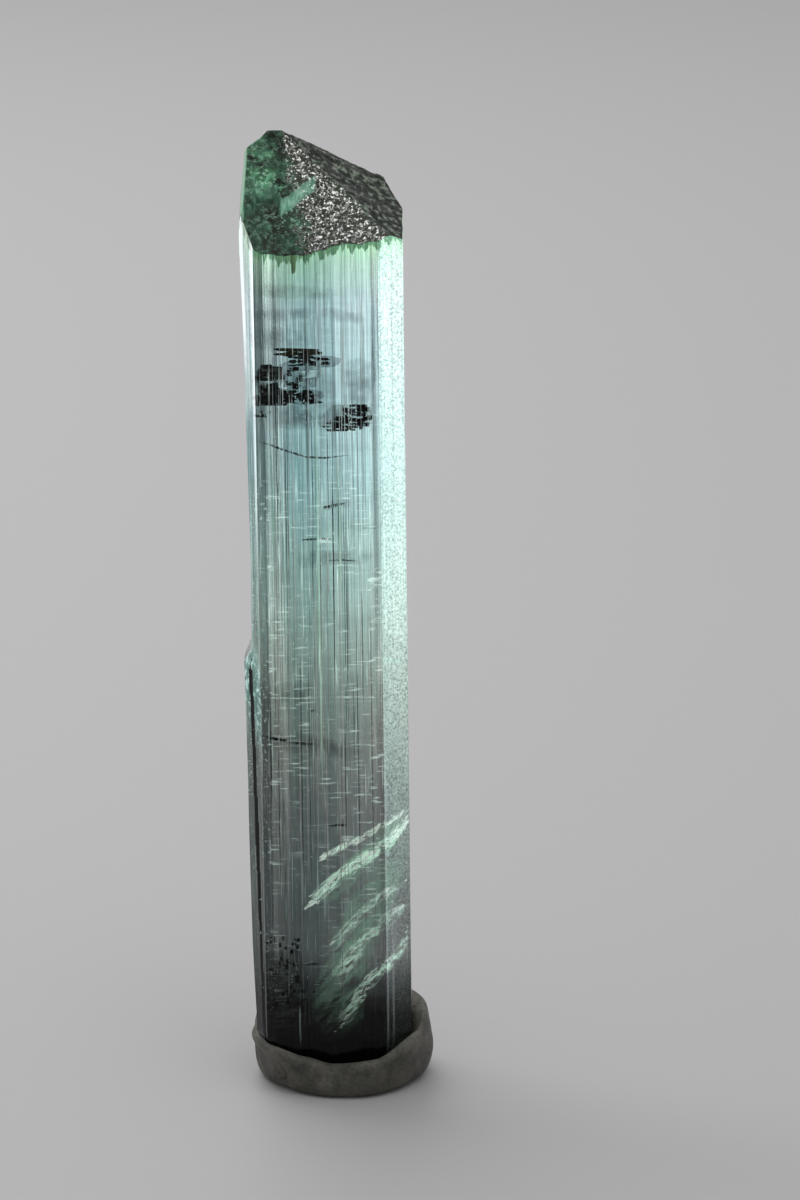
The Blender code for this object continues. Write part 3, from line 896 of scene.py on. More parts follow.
# a side face: zone tones with painted light from above, times fine lines and broad bands, under the rim
# mixed to mint and cut by teeth of the tip's green; painted glow for light from inside = tone at the
# height x tint x grains x lines x gain at the place across
def bodyMaterial(name):
    look, own = crystalLook, crystalLook["finishes"][name]
    made, tree, shader = newMaterial(name)
    place = objectPlace(tree)
    parts = splitPlace(tree, place)
    share = calc(tree, "DIVIDE", parts["Z"], look["zoneTop"] * mm)
    masks, heights = usePatterns(tree, place, look["sidePatterns"])
    below = pointValue(tree, "below")
    lines = ramp(tree, masks["fine"], list(zip(look["lineStops"], own["lines"])))
    lines = mixColour(tree, ramp(tree, share, look["lineCalm"]), lines, look["lineTone"])
    grains = mixColour(tree, masks["frost"], 1.0 - own["grains"], 1.0)
    band = calc(tree, "SUBTRACT", 1.0, calc(tree, "DIVIDE", below, look["mintReach"]), clamp=True)
    # tint
    zones = {"Vector": place, "Waver": look["waver"]}
    body = addNode(tree, "ShaderNodeGroup", zones, node_tree=groups["zonesAndTopLight"]).outputs["Color"]
    body = tint(tree, body, lines, ramp(tree, masks["broad"], [(0.0, own["bands"]), (0.7, 1.0)]))
    body = mixColour(tree, band, body, mixColour(tree, masks["fine"], look["mintDark"], look["mint"]))
    # painted glow, standing for light from inside
    paintedGlow = ramp(tree, share, [(z / look["zoneTop"], (tone, tone, tone)) for z, tone in own["glow"]])
    streaked = mixColour(
        tree, masks["comb"], own["rim"], [look["glowStreak"] * tone for tone in own["rim"]]
    )
    paintedGlow = tint(tree, mixColour(tree, band, paintedGlow, streaked), lines, grains)
    paintedGlow = tint(tree, mixColour(tree, own["plain"], body, own["tone"]), paintedGlow)
    across = calc(tree, "ADD", parts["X"], times(tree, parts["Z"], look["glowLean"]))
    across = calc(tree, "ADD", calc(tree, "DIVIDE", across, look["glowWide"] * mm), 0.5)
    gain = ramp(
        tree, across,
        [(x / look["glowWide"] + 0.5, level / look["glowMost"]) for x, level in own["gains"]]
    )
    paintedGlow = tint(tree, paintedGlow, times(tree, gain, look["glowMost"]))
    # painted highlights on the left bevels, laid over the glow
    paintedGlow = mixColour(tree, pointValue(tree, "bright"), paintedGlow, look["paintedHighlightTone"])
    # painted sheen under the ledge, laid over the glow
    ledgeSheenTone = mixColour(tree, masks["bits"], look["ledgeSheenDark"], look["ledgeSheenLight"])
    paintedGlow = mixColour(tree, pointValue(tree, "ledge"), paintedGlow, ledgeSheenTone)
    # thin bright lines along the crystal, and level ones in patches: scratches painted as glints in the
    # glow
    turned = addNode(
        tree, "ShaderNodeCombineXYZ", {"X": parts["Z"], "Y": parts["Y"], "Z": parts["X"]},
    ).outputs[0]
    level = usePatterns(tree, turned, look["turnedPatterns"])[0]["level"]
    level = times(tree, level, masks["patch"], ramp(tree, share, look["levelLines"]))
    upright = times(tree, masks["upright"], ramp(tree, share, look["uprightLines"]))
    scratchGlints = times(tree, calc(tree, "MAXIMUM", level, upright), own["scratchGlintShare"])
    paintedGlow = mixColour(tree, scratchGlints, paintedGlow, look["scratchGlintTone"])
    body = mixColour(tree, own["white"], body, grains)
    body = mixColour(tree, pointValue(tree, "dark"), body, look["edgeDark"])
    tooth = calc(tree, "SUBTRACT", times(tree, masks["comb"], look["toothReach"]), below)
    body = mixColour(
        tree, calc(tree, "DIVIDE", tooth, look["toothEase"], clamp=True), body, look["teeth"],
    )
    finishCrystal(tree, shader, heights["fine"], look["lineBump"], {
        "Base Color": body, "Emission Color": paintedGlow, "Roughness": own["roughness"],
        "Transmission Weight": look["transmission"],
    })
    return made


# the etched tip: lumps and bits between a dark and a middle green, bright where winding rims cross the
# bits, with painted shade in patches; over it, each by its share, the painted shadow under the step,
# painted glints, the dark far side in shade, the step's wall and a painted edge light on the steep facet
def tipMaterial():
    look = crystalLook
    made, tree, shader = newMaterial("etched tourmaline")
    masks = usePatterns(tree, objectPlace(tree), look["tipPatterns"])[0]
    mottled = calc(tree, "ADD", times(tree, masks["bits"], 0.5), times(tree, masks["lumps"], 0.5))
    flecks = times(tree, masks["rims"], masks["bits"])
    etched = mixColour(
        tree, flecks, mixColour(tree, mottled, look["tipDark"], look["tipMid"]), look["tipRim"],
    )
    # painted shade patches darken the etched face
    etched = tint(tree, etched, mixColour(tree, masks["shadePatches"], look["shadePatchTone"], 1.0))
    # painted shadow under the step's wall, the flecks still showing
    shadowedTip = mixColour(tree, flecks, look["tipShadeTone"], etched)
    etched = mixColour(tree, times(tree, pointValue(tree, "stepShadow"), look["stepShadowShare"]), etched, shadowedTip)
    # painted shade: darker just inside the rim, in the shade patches
    rim = calc(tree, "DIVIDE", pointValue(tree, "below"), look["rimReach"])
    rim = times(tree, calc(tree, "ADD", rim, 1.0, clamp=True), masks["shadePatches"])
    etched = mixColour(
        tree, calc(tree, "MULTIPLY", rim, look["rimShare"], clamp=True), etched, look["tipShadeTone"],
    )
    # painted glints over the sparkling band: their share is eaten away by the lumps wherever it is not
    # full
    spark = calc(tree, "SUBTRACT", times(tree, pointValue(tree, "spark"), 2.0), mottled, clamp=True)
    dashes = calc(tree, "MAXIMUM", times(tree, masks["glitter"], masks["broken"]), masks["points"])
    colour = mixColour(
        tree, spark, etched, mixColour(tree, dashes, look["sparkDark"], look["sparkLight"]),
    )
    shaded = mixColour(tree, masks["blotches"], look["shadeDark"], look["shadeLight"])
    colour = mixColour(tree, pointValue(tree, "shade"), colour, shaded)
    walls = mixColour(tree, masks["walls"], look["riser"], look["riserLight"])
    colour = mixColour(tree, pointValue(tree, "riser"), colour, walls)
    # painted edge light on the steep facet
    colour = mixColour(
        tree, times(tree, pointValue(tree, "paintedEdgeLight"), look["edgeLightShare"]), colour, look["paintedEdgeLight"],
    )
    # painted glints that also glow
    lit = times(tree, masks["points"], spark, look["pointGlow"])
    finishCrystal(tree, shader, masks["glitter"], look["tipBump"], {
        "Base Color": colour, "Emission Color": mixColour(tree, lit, 0.0, 1.0),
        "Roughness": look["tipRoughness"],
        "Transmission Weight": look["tipTransmission"],
    })
    return made


# Marks inside the crystal, placed by the pixels where the photo shows them

marks = {
    # boxes filled with small dark flakes: two corners in pixels, count, depth behind the front face in
    # mm, largest half width and half height in pixels
    "patches": [
        (288, 354, 313, 366, 34, 1.2, 5.0, 2.4), (286, 352, 322, 359, 20, 1.3, 6.0, 1.0),
        (313, 358, 330, 365, 9, 1.4, 4.0, 1.4), (260, 368, 281, 380, 44, 0.9, 5.0, 4.0),
        (260, 386, 282, 404, 50, 1.0, 5.0, 4.0), (284, 392, 318, 403, 34, 1.4, 6.0, 2.6),
        (286, 367, 300, 388, 14, 1.6, 4.0, 3.4), (342, 405, 364, 416, 24, 1.1, 6.0, 1.7),
        (330, 417, 366, 425, 26, 1.0, 8.0, 1.5), (324, 426, 357, 431, 18, 0.9, 9.0, 1.2),
        (358, 414, 369, 427, 16, 0.9, 4.0, 3.0), (258, 412, 276, 420, 5, 0.8, 4.0, 1.5),
        (264, 934, 300, 1008, 60, 0.9, 1.8, 3.2), (262, 990, 316, 1012, 30, 0.7, 3.0, 1.8),
    ],
    "patchSmallest": (1.0, 0.7),  # smallest half width and half height in pixels
    "patchSeed": 21,
    "smoke": [
        (300, 374, 1.9, 22, 15, 0), (300, 396, 1.9, 24, 10, 0), (348, 416, 1.5, 24, 13, 0),
        (322, 361, 1.8, 20, 6, 2),
        (271, 386, 1.5, 13, 20, 0), (284, 978, 1.3, 24, 34, 0),
    ],
    # flakes: pixel, depth in mm, half width and half height in pixels, turn in degrees
    "olive": [
        (293, 262, 0.6, 2.6, 13, 0), (296, 350, 0.8, 24, 1.8, 1), (286, 354, 0.9, 12, 1.5, -3),
        (312, 353, 0.9, 10, 1.3, 4),
    ],
    "white": [
        (311, 374, 0.7, 11, 4, -8), (329, 342, 0.8, 3, 1.2, 0), (268, 382, 0.6, 9, 0.8, 1),
        (343, 669, 0.4, 16, 1.3, 0), (370, 528, 0.5, 7, 0.8, 0), (305, 626, 0.6, 10, 1.0, 6),
        (304, 617, 0.6, 8, 0.8, -4),
        (282, 620, 0.7, 7, 0.9, 8), (283, 633, 0.7, 8, 1.0, 0), (263, 634, 0.6, 4, 6, 0),
        (391, 660, 0.4, 12, 0.9, 16),
        (386, 853, 0.3, 7, 2.6, 38), (366, 868, 0.5, 9, 1.6, 34), (378, 846, 0.5, 10, 1.3, 30),
    ],
    # lines: pixels along the way, depth, half width in pixels
    "cracks": [
        ([(258, 440), (275, 447), (290, 452), (305, 457), (325, 458), (350, 455)], 0.7, 1.0),
        ([(258, 735), (280, 740), (300, 743), (320, 745)], 0.8, 1.6),
        ([(322, 508), (331, 506), (346, 503)], 1.2, 1.4),
        ([(300, 540), (318, 539), (335, 539)], 1.4, 1.1),
        ([(325, 561), (342, 560), (358, 561)], 1.3, 0.8),
        ([(308, 711), (312, 711), (316, 710)], 0.8, 0.9),
        ([(327, 826), (338, 825), (348, 825)], 0.8, 1.1),
        ([(303, 965), (312, 964), (320, 964)], 0.8, 0.8),
    ],
    "tubes": [
        ([(316, 380), (318, 520), (320, 660), (323, 800)], 0.5, 0.8),
        ([(271, 450), (273, 520), (275, 600)], 0.5, 0.7),
        ([(338, 450), (339, 520), (341, 595)], 0.5, 0.8),
        ([(262, 470), (263, 560), (265, 640)], 0.5, 0.5),
        ([(300, 1006), (300, 1026), (301, 1048)], 0.3, 0.9),
    ],
    # the healed fracture: strips of wisps, pixels along the middle, half width in pixels at both ends,
    # depth, share of the full brightness
    "veil": [
        (
            [(407, 818), (396, 832), (384, 845), (365, 858), (340, 876), (322, 892), (308, 908)], 6.0,
            8.0, 0.6, 1.0,
        ),
        ([(406, 810), (380, 826), (362, 838), (340, 848), (319, 858)], 2.5, 5.0, 1.1, 0.9),
        ([(408, 878), (388, 890), (366, 909), (345, 932), (330, 953)], 3.0, 8.0, 0.9, 0.6),
        ([(408, 899), (390, 915), (368, 935), (348, 962), (334, 990)], 4.0, 12.0, 1.3, 0.7),
        ([(409, 929), (394, 956), (371, 979), (354, 1002), (337, 1032)], 4.0, 10.0, 0.8, 0.75),
    ],
    "glowVeil": [
        ([(402, 846), (374, 888), (354, 938), (340, 988), (334, 1046)], 16.0, 30.0, 1.8, 0.8),
        ([(404, 812), (380, 842), (350, 872), (318, 906)], 10.0, 13.0, 1.5, 1.0),
    ],
    # soft dark haze, as strips like the veil's
    "haze": [
        ([(357, 356), (357, 418)], 17.0, 17.0, 2.2, 1.0),
        ([(256, 417), (352, 415)], 15.0, 15.0, 2.2, 1.0),
        ([(300, 366), (338, 400)], 16.0, 16.0, 2.5, 0.5), ([(254, 290), (340, 294)], 8.0, 7.0, 1.5, 0.8),
        ([(256, 318), (316, 312)], 9.0, 6.0, 1.4, 0.8), ([(254, 338), (316, 340)], 15.0, 10.0, 1.7, 0.8),
        ([(318, 312), (366, 320)], 8.0, 7.0, 1.3, 0.7), ([(292, 560), (374, 556)], 11.0, 8.0, 1.6, 0.8),
        ([(264, 692), (322, 694)], 13.0, 11.0, 1.6, 0.5),
        ([(258, 738), (372, 754)], 12.0, 11.0, 1.5, 0.8),
        ([(318, 505), (352, 503)], 7.0, 5.0, 1.3, 0.9),
    ],
    "sparks": (420, 7),  # bright specks on the strips: count, seed
    # thin upright lines, the light ones painted highlights: count, half width in pixels from and to, seed
    "striaHighlights": (100, 0.16, 0.42, 41),
    "darkStriae": (34, 0.18, 0.42, 42),
    "striaeSides": (256, 372),
    "striaeTops": (262, 720),
    "striaeLengths": (60, 330),
    "striaeFoot": 1010,
    "striaeDepths": (0.12, 0.45),  # mm
    # tiny white dashes strewn over boxes: two corners in pixels and a count
    "ticks": [
        (260, 420, 374, 1000, 90), (260, 640, 276, 1000, 46), (262, 925, 300, 1010, 34),
        (282, 366, 360, 436, 60),
        (262, 596, 330, 652, 70), (300, 664, 362, 760, 30), (382, 640, 404, 800, 22),
        (253, 470, 262, 640, 70),
        (250, 655, 258, 800, 46), (290, 465, 352, 560, 60),
    ],
    "tickSeed": 43,
    "tickDepths": (0.08, 0.4),  # mm
    "tickLevel": 0.65,  # share of level ones
    "tickLength": (1.6, 0.040, 0.02),  # half of it: shape and scale of its spread, and least, mm
    "tickWidth": 0.017,
    "tickTurn": (4, 9),  # degrees
    "slope": 0.0145,  # sideways pixels per pixel down, as the crystal leans
    "slopeRow": 560,
    "flakeSides": 14,
    "flakeRings": [-50.0, 0.0, 50.0],  # degrees from the rim
    "flakeRagged": (-0.14, 0.10),  # how far a flake's rim strays, as shares of its size
    "veilSides": 16,
    "veilRows": 30,
    "veilRipple": 0.5,  # how far the strips wave in depth, mm
    "veilThick": 0.02,  # mm
    "sparkReach": (300, 405),  # leftmost and rightmost pixel
}


# a thin lens: centre + cos(f) (a cos t U + b sin t V) / r + h sin(f) N, f from pole to pole, t round it,
# r = (|cos t|^k + |sin t|^k)^(1/k), round for k = 2 and nearly square above, all flakes in one array
def flakeMesh(name, centres, halfWide, halfHigh, turns, thick, seed, tilt=20.0, square=2.0):
    rng = np.random.default_rng(seed)
    n, sides = len(centres), marks["flakeSides"]
    t = np.arange(sides) * 2 * math.pi / sides
    f = np.radians(marks["flakeRings"])
    boxy = (np.abs(np.cos(t)) ** square + np.abs(np.sin(t)) ** square) ** (-1 / square)
    ragged = (1 + rng.uniform(*marks["flakeRagged"], (n, 1, sides))) * boxy
    turn = np.radians(turns)[:, None, None]
    a = np.cos(f)[None, :, None] * np.cos(t) * ragged * halfWide[:, None, None]
    b = np.cos(f)[None, :, None] * np.sin(t) * ragged * halfHigh[:, None, None]
    u, v = a * np.cos(turn) - b * np.sin(turn), a * np.sin(turn) + b * np.cos(turn)
    out = np.sin(f)[None, :, None] * thick + 0 * u
    lean = np.radians(rng.uniform(-tilt, tilt, n))[:, None, None]
    x, y, z = u, -out * np.cos(lean) + v * np.sin(lean), v * np.cos(lean) + out * np.sin(lean)
    rings = centres[:, None, None, :] + np.stack([x, y, z], -1) * mm
    pole = np.stack([0 * lean, -thick * np.cos(lean), thick * np.sin(lean)], -1)[:, 0, 0] * mm
    points = np.concatenate(
        [rings.reshape(n, -1, 3), (centres - pole)[:, None], (centres + pole)[:, None]], 1,
    )
    shift = (np.arange(n) * points.shape[1])[:, None, None]
    quads, fans = (faces[None] + shift for faces in closedFaces(len(f), sides))
    return fillMesh(name, points.reshape(-1, 3), quads.reshape(-1, 4), fans.reshape(-1, 3))


# pixels at shares s of a path, on straight lines between its points
def alongPath(path, s):
    path = np.array(path, float)
    knots = np.linspace(0, 1, len(path))
    return np.interp(s, knots, path[:, 0]), np.interp(s, knots, path[:, 1])


# a path behind the front face: the shares s along it, the curve C(s), and the direction B(s) across it
def sunkPath(path, depth, rows, ripple=0.0):
    s = np.linspace(0, 1, rows + 2)
    curve = behindPixel(*alongPath(path, s), depth + ripple * np.sin(5 * s))
    ahead = np.gradient(curve, axis=0)
    return s, curve, np.cross(inwards, ahead / np.linalg.norm(ahead, axis=1, keepdims=True))


# a closed tube round a curve: C(s) + w(s) cos(f) B + h(s) sin(f) N, f round it
def tube(curve, beside, wide, high, f):
    ring = curve[1:-1, None] + (beside * wide[:, None])[1:-1, None] * np.cos(f)[None, :, None] * mm
    ring = ring + inwards * np.broadcast_to(high, len(curve))[
        1:-1, None, None,
    ] * np.sin(f)[None, :, None] * mm
    return closedRings(ring, curve[0], curve[-1])


# bands along curves, as tubes whose width falls to 0 at both ends
def bandMesh(name, lines, thick, rows=26, sides=6):
    f = np.arange(sides) * 2 * math.pi / sides
    bodies = []
    for path, depth, halfWide in lines:
        s, curve, beside = sunkPath(path, depth, rows)
        wide = halfWide * pixelSize * np.minimum(1, 5 * np.minimum(s, 1 - s))
        bodies.append(tube(curve, beside, wide, wide * thick, f))
    return joinBodies(name, bodies)


# soft strips along curves, as tubes thinner than a hair; "edge" falls from the strip's strength on the
# middle line to 0 on the rim and at the ends, as |sin f|^1.5
def veilMesh(name, strips):
    f = np.arange(marks["veilSides"]) * 2 * math.pi / marks["veilSides"]
    bodies, edges = [], []
    for path, wideFrom, wideTo, depth, strength in strips:
        s, curve, beside = sunkPath(path, depth, marks["veilRows"], marks["veilRipple"])
        wide = (wideFrom + (wideTo - wideFrom) * s) * pixelSize * np.minimum(1, 8 * np.minimum(s, 1 - s))
        bodies.append(tube(curve, beside, wide, marks["veilThick"], f))
        ends = np.minimum(1, 4 * np.minimum(s, 1 - s))[1:-1, None]
        edges.append(np.append((strength * ends * np.abs(np.sin(f))[None, :] ** 1.5).ravel(), [0.0, 0.0]))
    piece = joinBodies(name, bodies)
    addPointValue(piece.data, "edge", np.concatenate(edges))
    return piece


# flakes from rows of pixel, depth, half width, half height and turn
def listedFlakes(name, listed, thick, seed, square=2.0, tilt=12.0):
    px, py, depth, wide, high, turn = np.array(listed, float).T
    centres = behindPixel(px, py, depth)
    return flakeMesh(name, centres, wide * pixelSize, high * pixelSize, -turn, thick, seed, tilt, square)


# small flat boxes strewn evenly over each listed patch, their long sides level
def patchFlakes():
    rng = np.random.default_rng(marks["patchSeed"])
    wideFrom, highFrom = marks["patchSmallest"]
    listed = []
    for x0, y0, x1, y1, count, depth, wideTo, highTo in marks["patches"]:
        listed.append(np.stack([
            rng.uniform(x0, x1, count), rng.uniform(y0, y1, count),
            depth + rng.uniform(-0.05, 0.05, count),
            rng.uniform(wideFrom, wideTo, count), rng.uniform(highFrom, highTo, count),
            rng.normal(0, 2, count),
        ], -1))
    return listedFlakes("blackFractures", np.concatenate(listed), 0.03, marks["patchSeed"], 6.0)


# random upright lines close behind the front face: x leans with the crystal, as slope x (y - its row)
def striaeLines(count, thin, wide, seed):
    rng = np.random.default_rng(seed)
    lines = []
    for _ in range(count):
        x, top = rng.uniform(*marks["striaeSides"]), rng.uniform(*marks["striaeTops"])
        low = min(top + rng.uniform(*marks["striaeLengths"]), marks["striaeFoot"])
        path = [(x + marks["slope"] * (y - marks["slopeRow"]), y) for y in (top, low)]
        lines.append((path, rng.uniform(*marks["striaeDepths"]), rng.uniform(thin, wide)))
    return lines

# bright specks, painted glints on the veil, strewn along the strips' middle lines, long sides along the
# strip: more of them, as the sixth power of its strength, on a bright strip
def sparkFlakes():
    count, seed = marks["sparks"]
    rng = np.random.default_rng(seed)
    pixels = []
    for path, wideFrom, wideTo, _, strength in marks["veil"]:
        px, py = alongPath(path, rng.random(int(count * strength ** 6 / 2)))
        px = px + rng.normal(0, 0.3 * wideFrom, len(px))
        pixels.append((px, py + rng.normal(0, 0.3 * wideTo, len(py))))
    px, py = np.concatenate(pixels, 1)
    centres = behindPixel(np.clip(px, *marks["sparkReach"]), py, rng.uniform(0.4, 0.8, len(px)))
    size = rng.gamma(2.0, 0.035, len(px))
    turns = rng.uniform(25, 50, len(px))
    return flakeMesh(
        "veilSparks", centres, size * 1.3 + 0.03, size * 0.35 + 0.012, turns, 0.012, seed, 20.0,
    )


# tiny dashes strewn evenly over boxes, two thirds of them level and the others upright
def tickFlakes():
    rng = np.random.default_rng(marks["tickSeed"])
    places = [
        np.stack([rng.uniform(x0, x1, count), rng.uniform(y0, y1, count)], -1)
        for x0, y0, x1, y1, count in marks["ticks"]
    ]
    px, py = np.concatenate(places).T
    count = len(px)
    centres = behindPixel(px, py, rng.uniform(*marks["tickDepths"], count))
    level = rng.random(count) < marks["tickLevel"]
    form, scale, least = marks["tickLength"]
    long, thin = rng.gamma(form, scale, count) + least, np.full(count, marks["tickWidth"])
    wide, high = np.where(level, long, thin), np.where(level, thin, long)
    turns = rng.normal(*marks["tickTurn"], count)
    return flakeMesh("ticks", centres, wide, high, turns, 0.01, marks["tickSeed"])


# the marks' finishes
# marks with own light glow as painted glints and highlights where the real glints, growth tubes, veil
# sparks, ticks and striae catch light
markLooks = {
    # material, tone, roughness, own light, and for broken ones the lines' scale, stretch, from and to
    "blackFractures": ("black fracture", (2, 4, 4), 0.5, 0.0, (6000.0, 0.05, 0.35, 0.44)),
    "smoke": ("smoke", (24, 28, 27), 0.6, 0.0, (3000.0, 0.30, 0.25, 1.30)),
    "oliveVein": ("olive vein", (60, 52, 24), 0.6),
    "glints": ("glint", (214, 240, 236), 0.3, 0.30, (2600.0, 0.5, 0.40, 0.56)),
    "cracks": ("crack", (26, 40, 38), 0.6, 0.0, (5200.0, 0.3, 0.30, 0.58)),
    "growthTubes": ("growth tube", (210, 244, 230), 0.3, 0.30),
    "veilSparks": ("veil spark", (236, 252, 244), 0.3, 0.7),
    "ticks": ("tick", (232, 246, 242), 0.3, 0.35),
    "striaHighlights": ("light stria", (234, 234, 232), 0.3, 0.20),
    "darkStriae": ("dark stria", (76, 98, 96), 0.5),
    "seam": ("dark seam", (10, 11, 11), 0.5),
}
# the healed veil is a real fracture; its brightness and the veil glow are painted glow
veilLooks = {
    # material, tone, own light, most of it that shows, pattern, its scale, from and to
    "haze": ("haze", (56, 62, 72), 0.0, 0.50, "grain", 700.0, 0.30, 0.70),
    "healedVeil": ("healed veil", (214, 246, 230), 1.0, 1.0, "wisp", 4200.0, 0.45, 0.60),
    "glowVeil": ("veil glow", (158, 200, 178), 0.66, 0.62, "wisp", 2600.0, 0.38, 0.64),
}
notMirrored = ("healedVeil", "glowVeil", "veilSparks")  # by the back faces


# an opaque mark, or one that lines break up: alpha = the lines' mask
def markMaterial(name, tone, rough, glow=0.0, broken=None):
    made, tree, shader = newMaterial(name, {
        "Base Color": linear(tone), "Roughness": rough, "Specular IOR Level": 0.1,
        "Emission Color": linear(tone),
        "Emission Strength": glow,
    })
    if broken:
        settings = dict(zip(("Scale", "Stretch", "Low", "High"), broken))
        masks, _ = usePatterns(tree, objectPlace(tree), {"gaps": ("striation", settings)})
        feed(tree, shader.inputs["Alpha"], masks["gaps"])
    return made


# a soft mark: alpha = pattern x edge x the most that shows
def veilMaterial(name, tone, glow, most, pattern, scale, low, high):
    made, tree, shader = newMaterial(name, {
        "Base Color": linear(tone), "Roughness": 0.5, "Emission Color": linear(tone),
        "Emission Strength": glow,
    })
    settings = {"Scale": scale, "Low": low, "High": high}
    masks, _ = usePatterns(tree, objectPlace(tree), {"wisps": (pattern, settings)})
    feed(tree, shader.inputs["Alpha"], times(tree, masks["wisps"], pointValue(tree, "edge"), most))
    return made


# every mark is a piece of its own, with the finish of its name
def makeMarks():
    pieces = [
        patchFlakes(),
        listedFlakes("smoke", marks["smoke"], 0.03, 24, 2.4),
        veilMesh("haze", marks["haze"]),
        listedFlakes("oliveVein", marks["olive"], 0.04, 22, 3.0),
        listedFlakes("glints", marks["white"], 0.02, 23, 4.0),
        bandMesh("cracks", marks["cracks"], 0.3),
        bandMesh("growthTubes", marks["tubes"], 0.6),
        veilMesh("healedVeil", marks["veil"]),
        veilMesh("glowVeil", marks["glowVeil"]),
        sparkFlakes(),
        tickFlakes(),
        bandMesh("striaHighlights", striaeLines(*marks["striaHighlights"]), 0.6, 5, 4),
        bandMesh("darkStriae", striaeLines(*marks["darkStriae"]), 0.6, 5, 4),
    ]
    for piece in pieces:
        name = piece.name
        finish = veilMaterial(*veilLooks[name]) if name in veilLooks else markMaterial(*markLooks[name])
        piece.data.materials.append(finish)
        piece.visible_glossy = name not in notMirrored
    print("marks", {piece.name: len(piece.data.vertices) for piece in pieces})


# Putty

puttyShape = {
    # direction in degrees, then the radius on the ground, at the bulge and at the lip, and the
    # lip's height, all in mm
    "around": [
        (-90, 4.90, 5.75, 5.35, 2.4), (-60, 5.20, 6.20, 6.35, 2.8), (-32, 5.30, 6.50, 7.05, 4.2),
        (0, 5.70, 6.95, 6.60, 5.2), (30, 5.60, 6.90, 6.40, 5.3), (60, 5.50, 6.70, 6.40, 5.1),
        (90, 5.50, 6.60, 6.30, 4.9), (120, 5.30, 6.40, 6.45, 4.7), (150, 4.90, 5.85, 6.05, 4.4),
        (180, 4.70, 5.60, 5.70, 4.0), (205, 4.50, 5.45, 6.25, 3.9), (225, 4.30, 5.30, 6.65, 3.6),
        (248, 4.60, 5.55, 5.70, 2.9),
    ],
    # shares of the ground, bulge and lip radius, how far it draws in, and its part of the height
    "profile": [
        (1.00, 0.00, 0.00, 0.00, 0.00), (0.45, 0.55, 0.00, 0.00, 0.07), (0.12, 0.88, 0.00, 0.00, 0.22),
        (0.00, 1.00, 0.00, 0.00, 0.42), (0.00, 0.60, 0.40, 0.00, 0.64), (0.00, 0.12, 0.88, 0.00, 0.84),
        (0.00, 0.00, 1.00, 0.12, 0.95), (0.00, 0.00, 1.00, 0.42, 1.00),
    ],
    "columns": 360,
    "rows": 90,
    "contact": 0.78,  # part of the lip's height at which the putty touches the crystal
    "overlap": 0.06,  # how far the pocket's wall reaches into the crystal, mm
    "dents": [(2.4, 0.10, 31), (0.9, 0.035, 32)],  # cell, depth, seed
    "dentsFrom": 0.8,  # height from which the dents have their full depth, mm
    "under": 0.25,  # how far the pocket's floor lies below the crystal's foot, mm
    "pocketRings": (1.0, 0.8, 0.5, 0.2, 0.0),  # shares of its height
    "floorRings": (0.7, 0.35),  # shares of its width
}


# eased shares between the nearest known directions, as 3t^2 - 2t^3
def puttyAround(direction):
    known = np.array(puttyShape["around"])
    starts = known[:, 0] % 360
    order = np.argsort(starts)
    starts, values = starts[order], known[order, 1:]
    starts = np.append(starts, starts[0] + 360)
    values = np.concatenate([values, values[:1]])
    turned = (direction - starts[0]) % 360 + starts[0]
    slot = np.clip(np.searchsorted(starts, turned, side="right") - 1, 0, len(starts) - 2)
    t = (turned - starts[slot]) / (starts[slot + 1] - starts[slot])
    t = (t * t * (3 - 2 * t))[:, None]
    return values[slot] * (1 - t) + values[slot + 1] * t


# how far the crystal's side lies from its axis in a direction: the nearest of p / cos(angle to face)
def crystalReach(direction, height):
    turn = np.radians(direction)[None, :]
    least = 0.2  # faces turned further away than this cosine don't count
    nearest = np.full(np.broadcast(turn, height).shape, 99.0)
    for angle, reach in sideFaces(height):
        facing = np.cos(turn - angle)
        nearest = np.minimum(nearest, np.where(facing > least, reach / np.maximum(facing, least), 99.0))
    return nearest


# rings through the profile's as a smooth curve (Catmull-Rom, 0.5 (2b + (c - a) t + ...)), less the dents,
# then the pocket's rings down the crystal's side and across under its foot
def makePutty():
    shape = puttyShape
    direction = np.arange(shape["columns"]) * 360.0 / shape["columns"]
    around = puttyAround(direction)
    profile = np.array(shape["profile"])
    steps = np.linspace(0, len(profile) - 1, shape["rows"])
    low = np.clip(steps.astype(int), 0, len(profile) - 2)
    t = (steps - low)[:, None]
    before, start, end, after = (profile[np.clip(low + k, 0, len(profile) - 1)] for k in (-1, 0, 1, 2))
    curve = 0.5 * (
        2 * start + (end - before) * t + (2 * before - 5 * start + 4 * end - after) * t**2
        + (3 * start - before - 3 * end + after) * t**3
    )
    radius = curve[:, :3] @ around[:, :3].T - curve[:, 3:4]
    lipHeight = around[:, 3]
    height = np.clip(curve[:, 4:5], 0, 1) * lipHeight
    turn = np.radians(direction)[None, :]
    rise = np.clip(height / shape["dentsFrom"], 0, 1)
    for cell, deep, seed in shape["dents"]:
        dent = latticeNoise(6 * np.cos(turn) + 20, 6 * np.sin(turn) + height + 20, cell, seed)
        radius = radius - deep * rise * (0.5 + dent)
    floor = crystalShape["foot"] - shape["under"]
    pocket = []
    for share in shape["pocketRings"]:
        level = floor + (shape["contact"] * lipHeight - floor) * share
        pocket.append((crystalReach(direction, level)[0] - shape["overlap"], level))
    reach, level = pocket[-1]
    pocket += [(reach * share, level) for share in shape["floorRings"]]
    radius = np.concatenate([radius, [ring[0] for ring in pocket]])
    height = np.concatenate([height, [ring[1] for ring in pocket]])
    x, y = placing["axisX"], placing["axisY"]
    grid = np.stack([x + radius * np.cos(turn), y + radius * np.sin(turn), height], -1) * mm
    poles = (np.array([x, y, z]) * mm for z in (0.0, floor))
    piece = fillMesh("puttyLump", *closedRings(grid, *poles))
    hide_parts("putty")
    print("putty", len(piece.data.vertices), "points")
    return piece


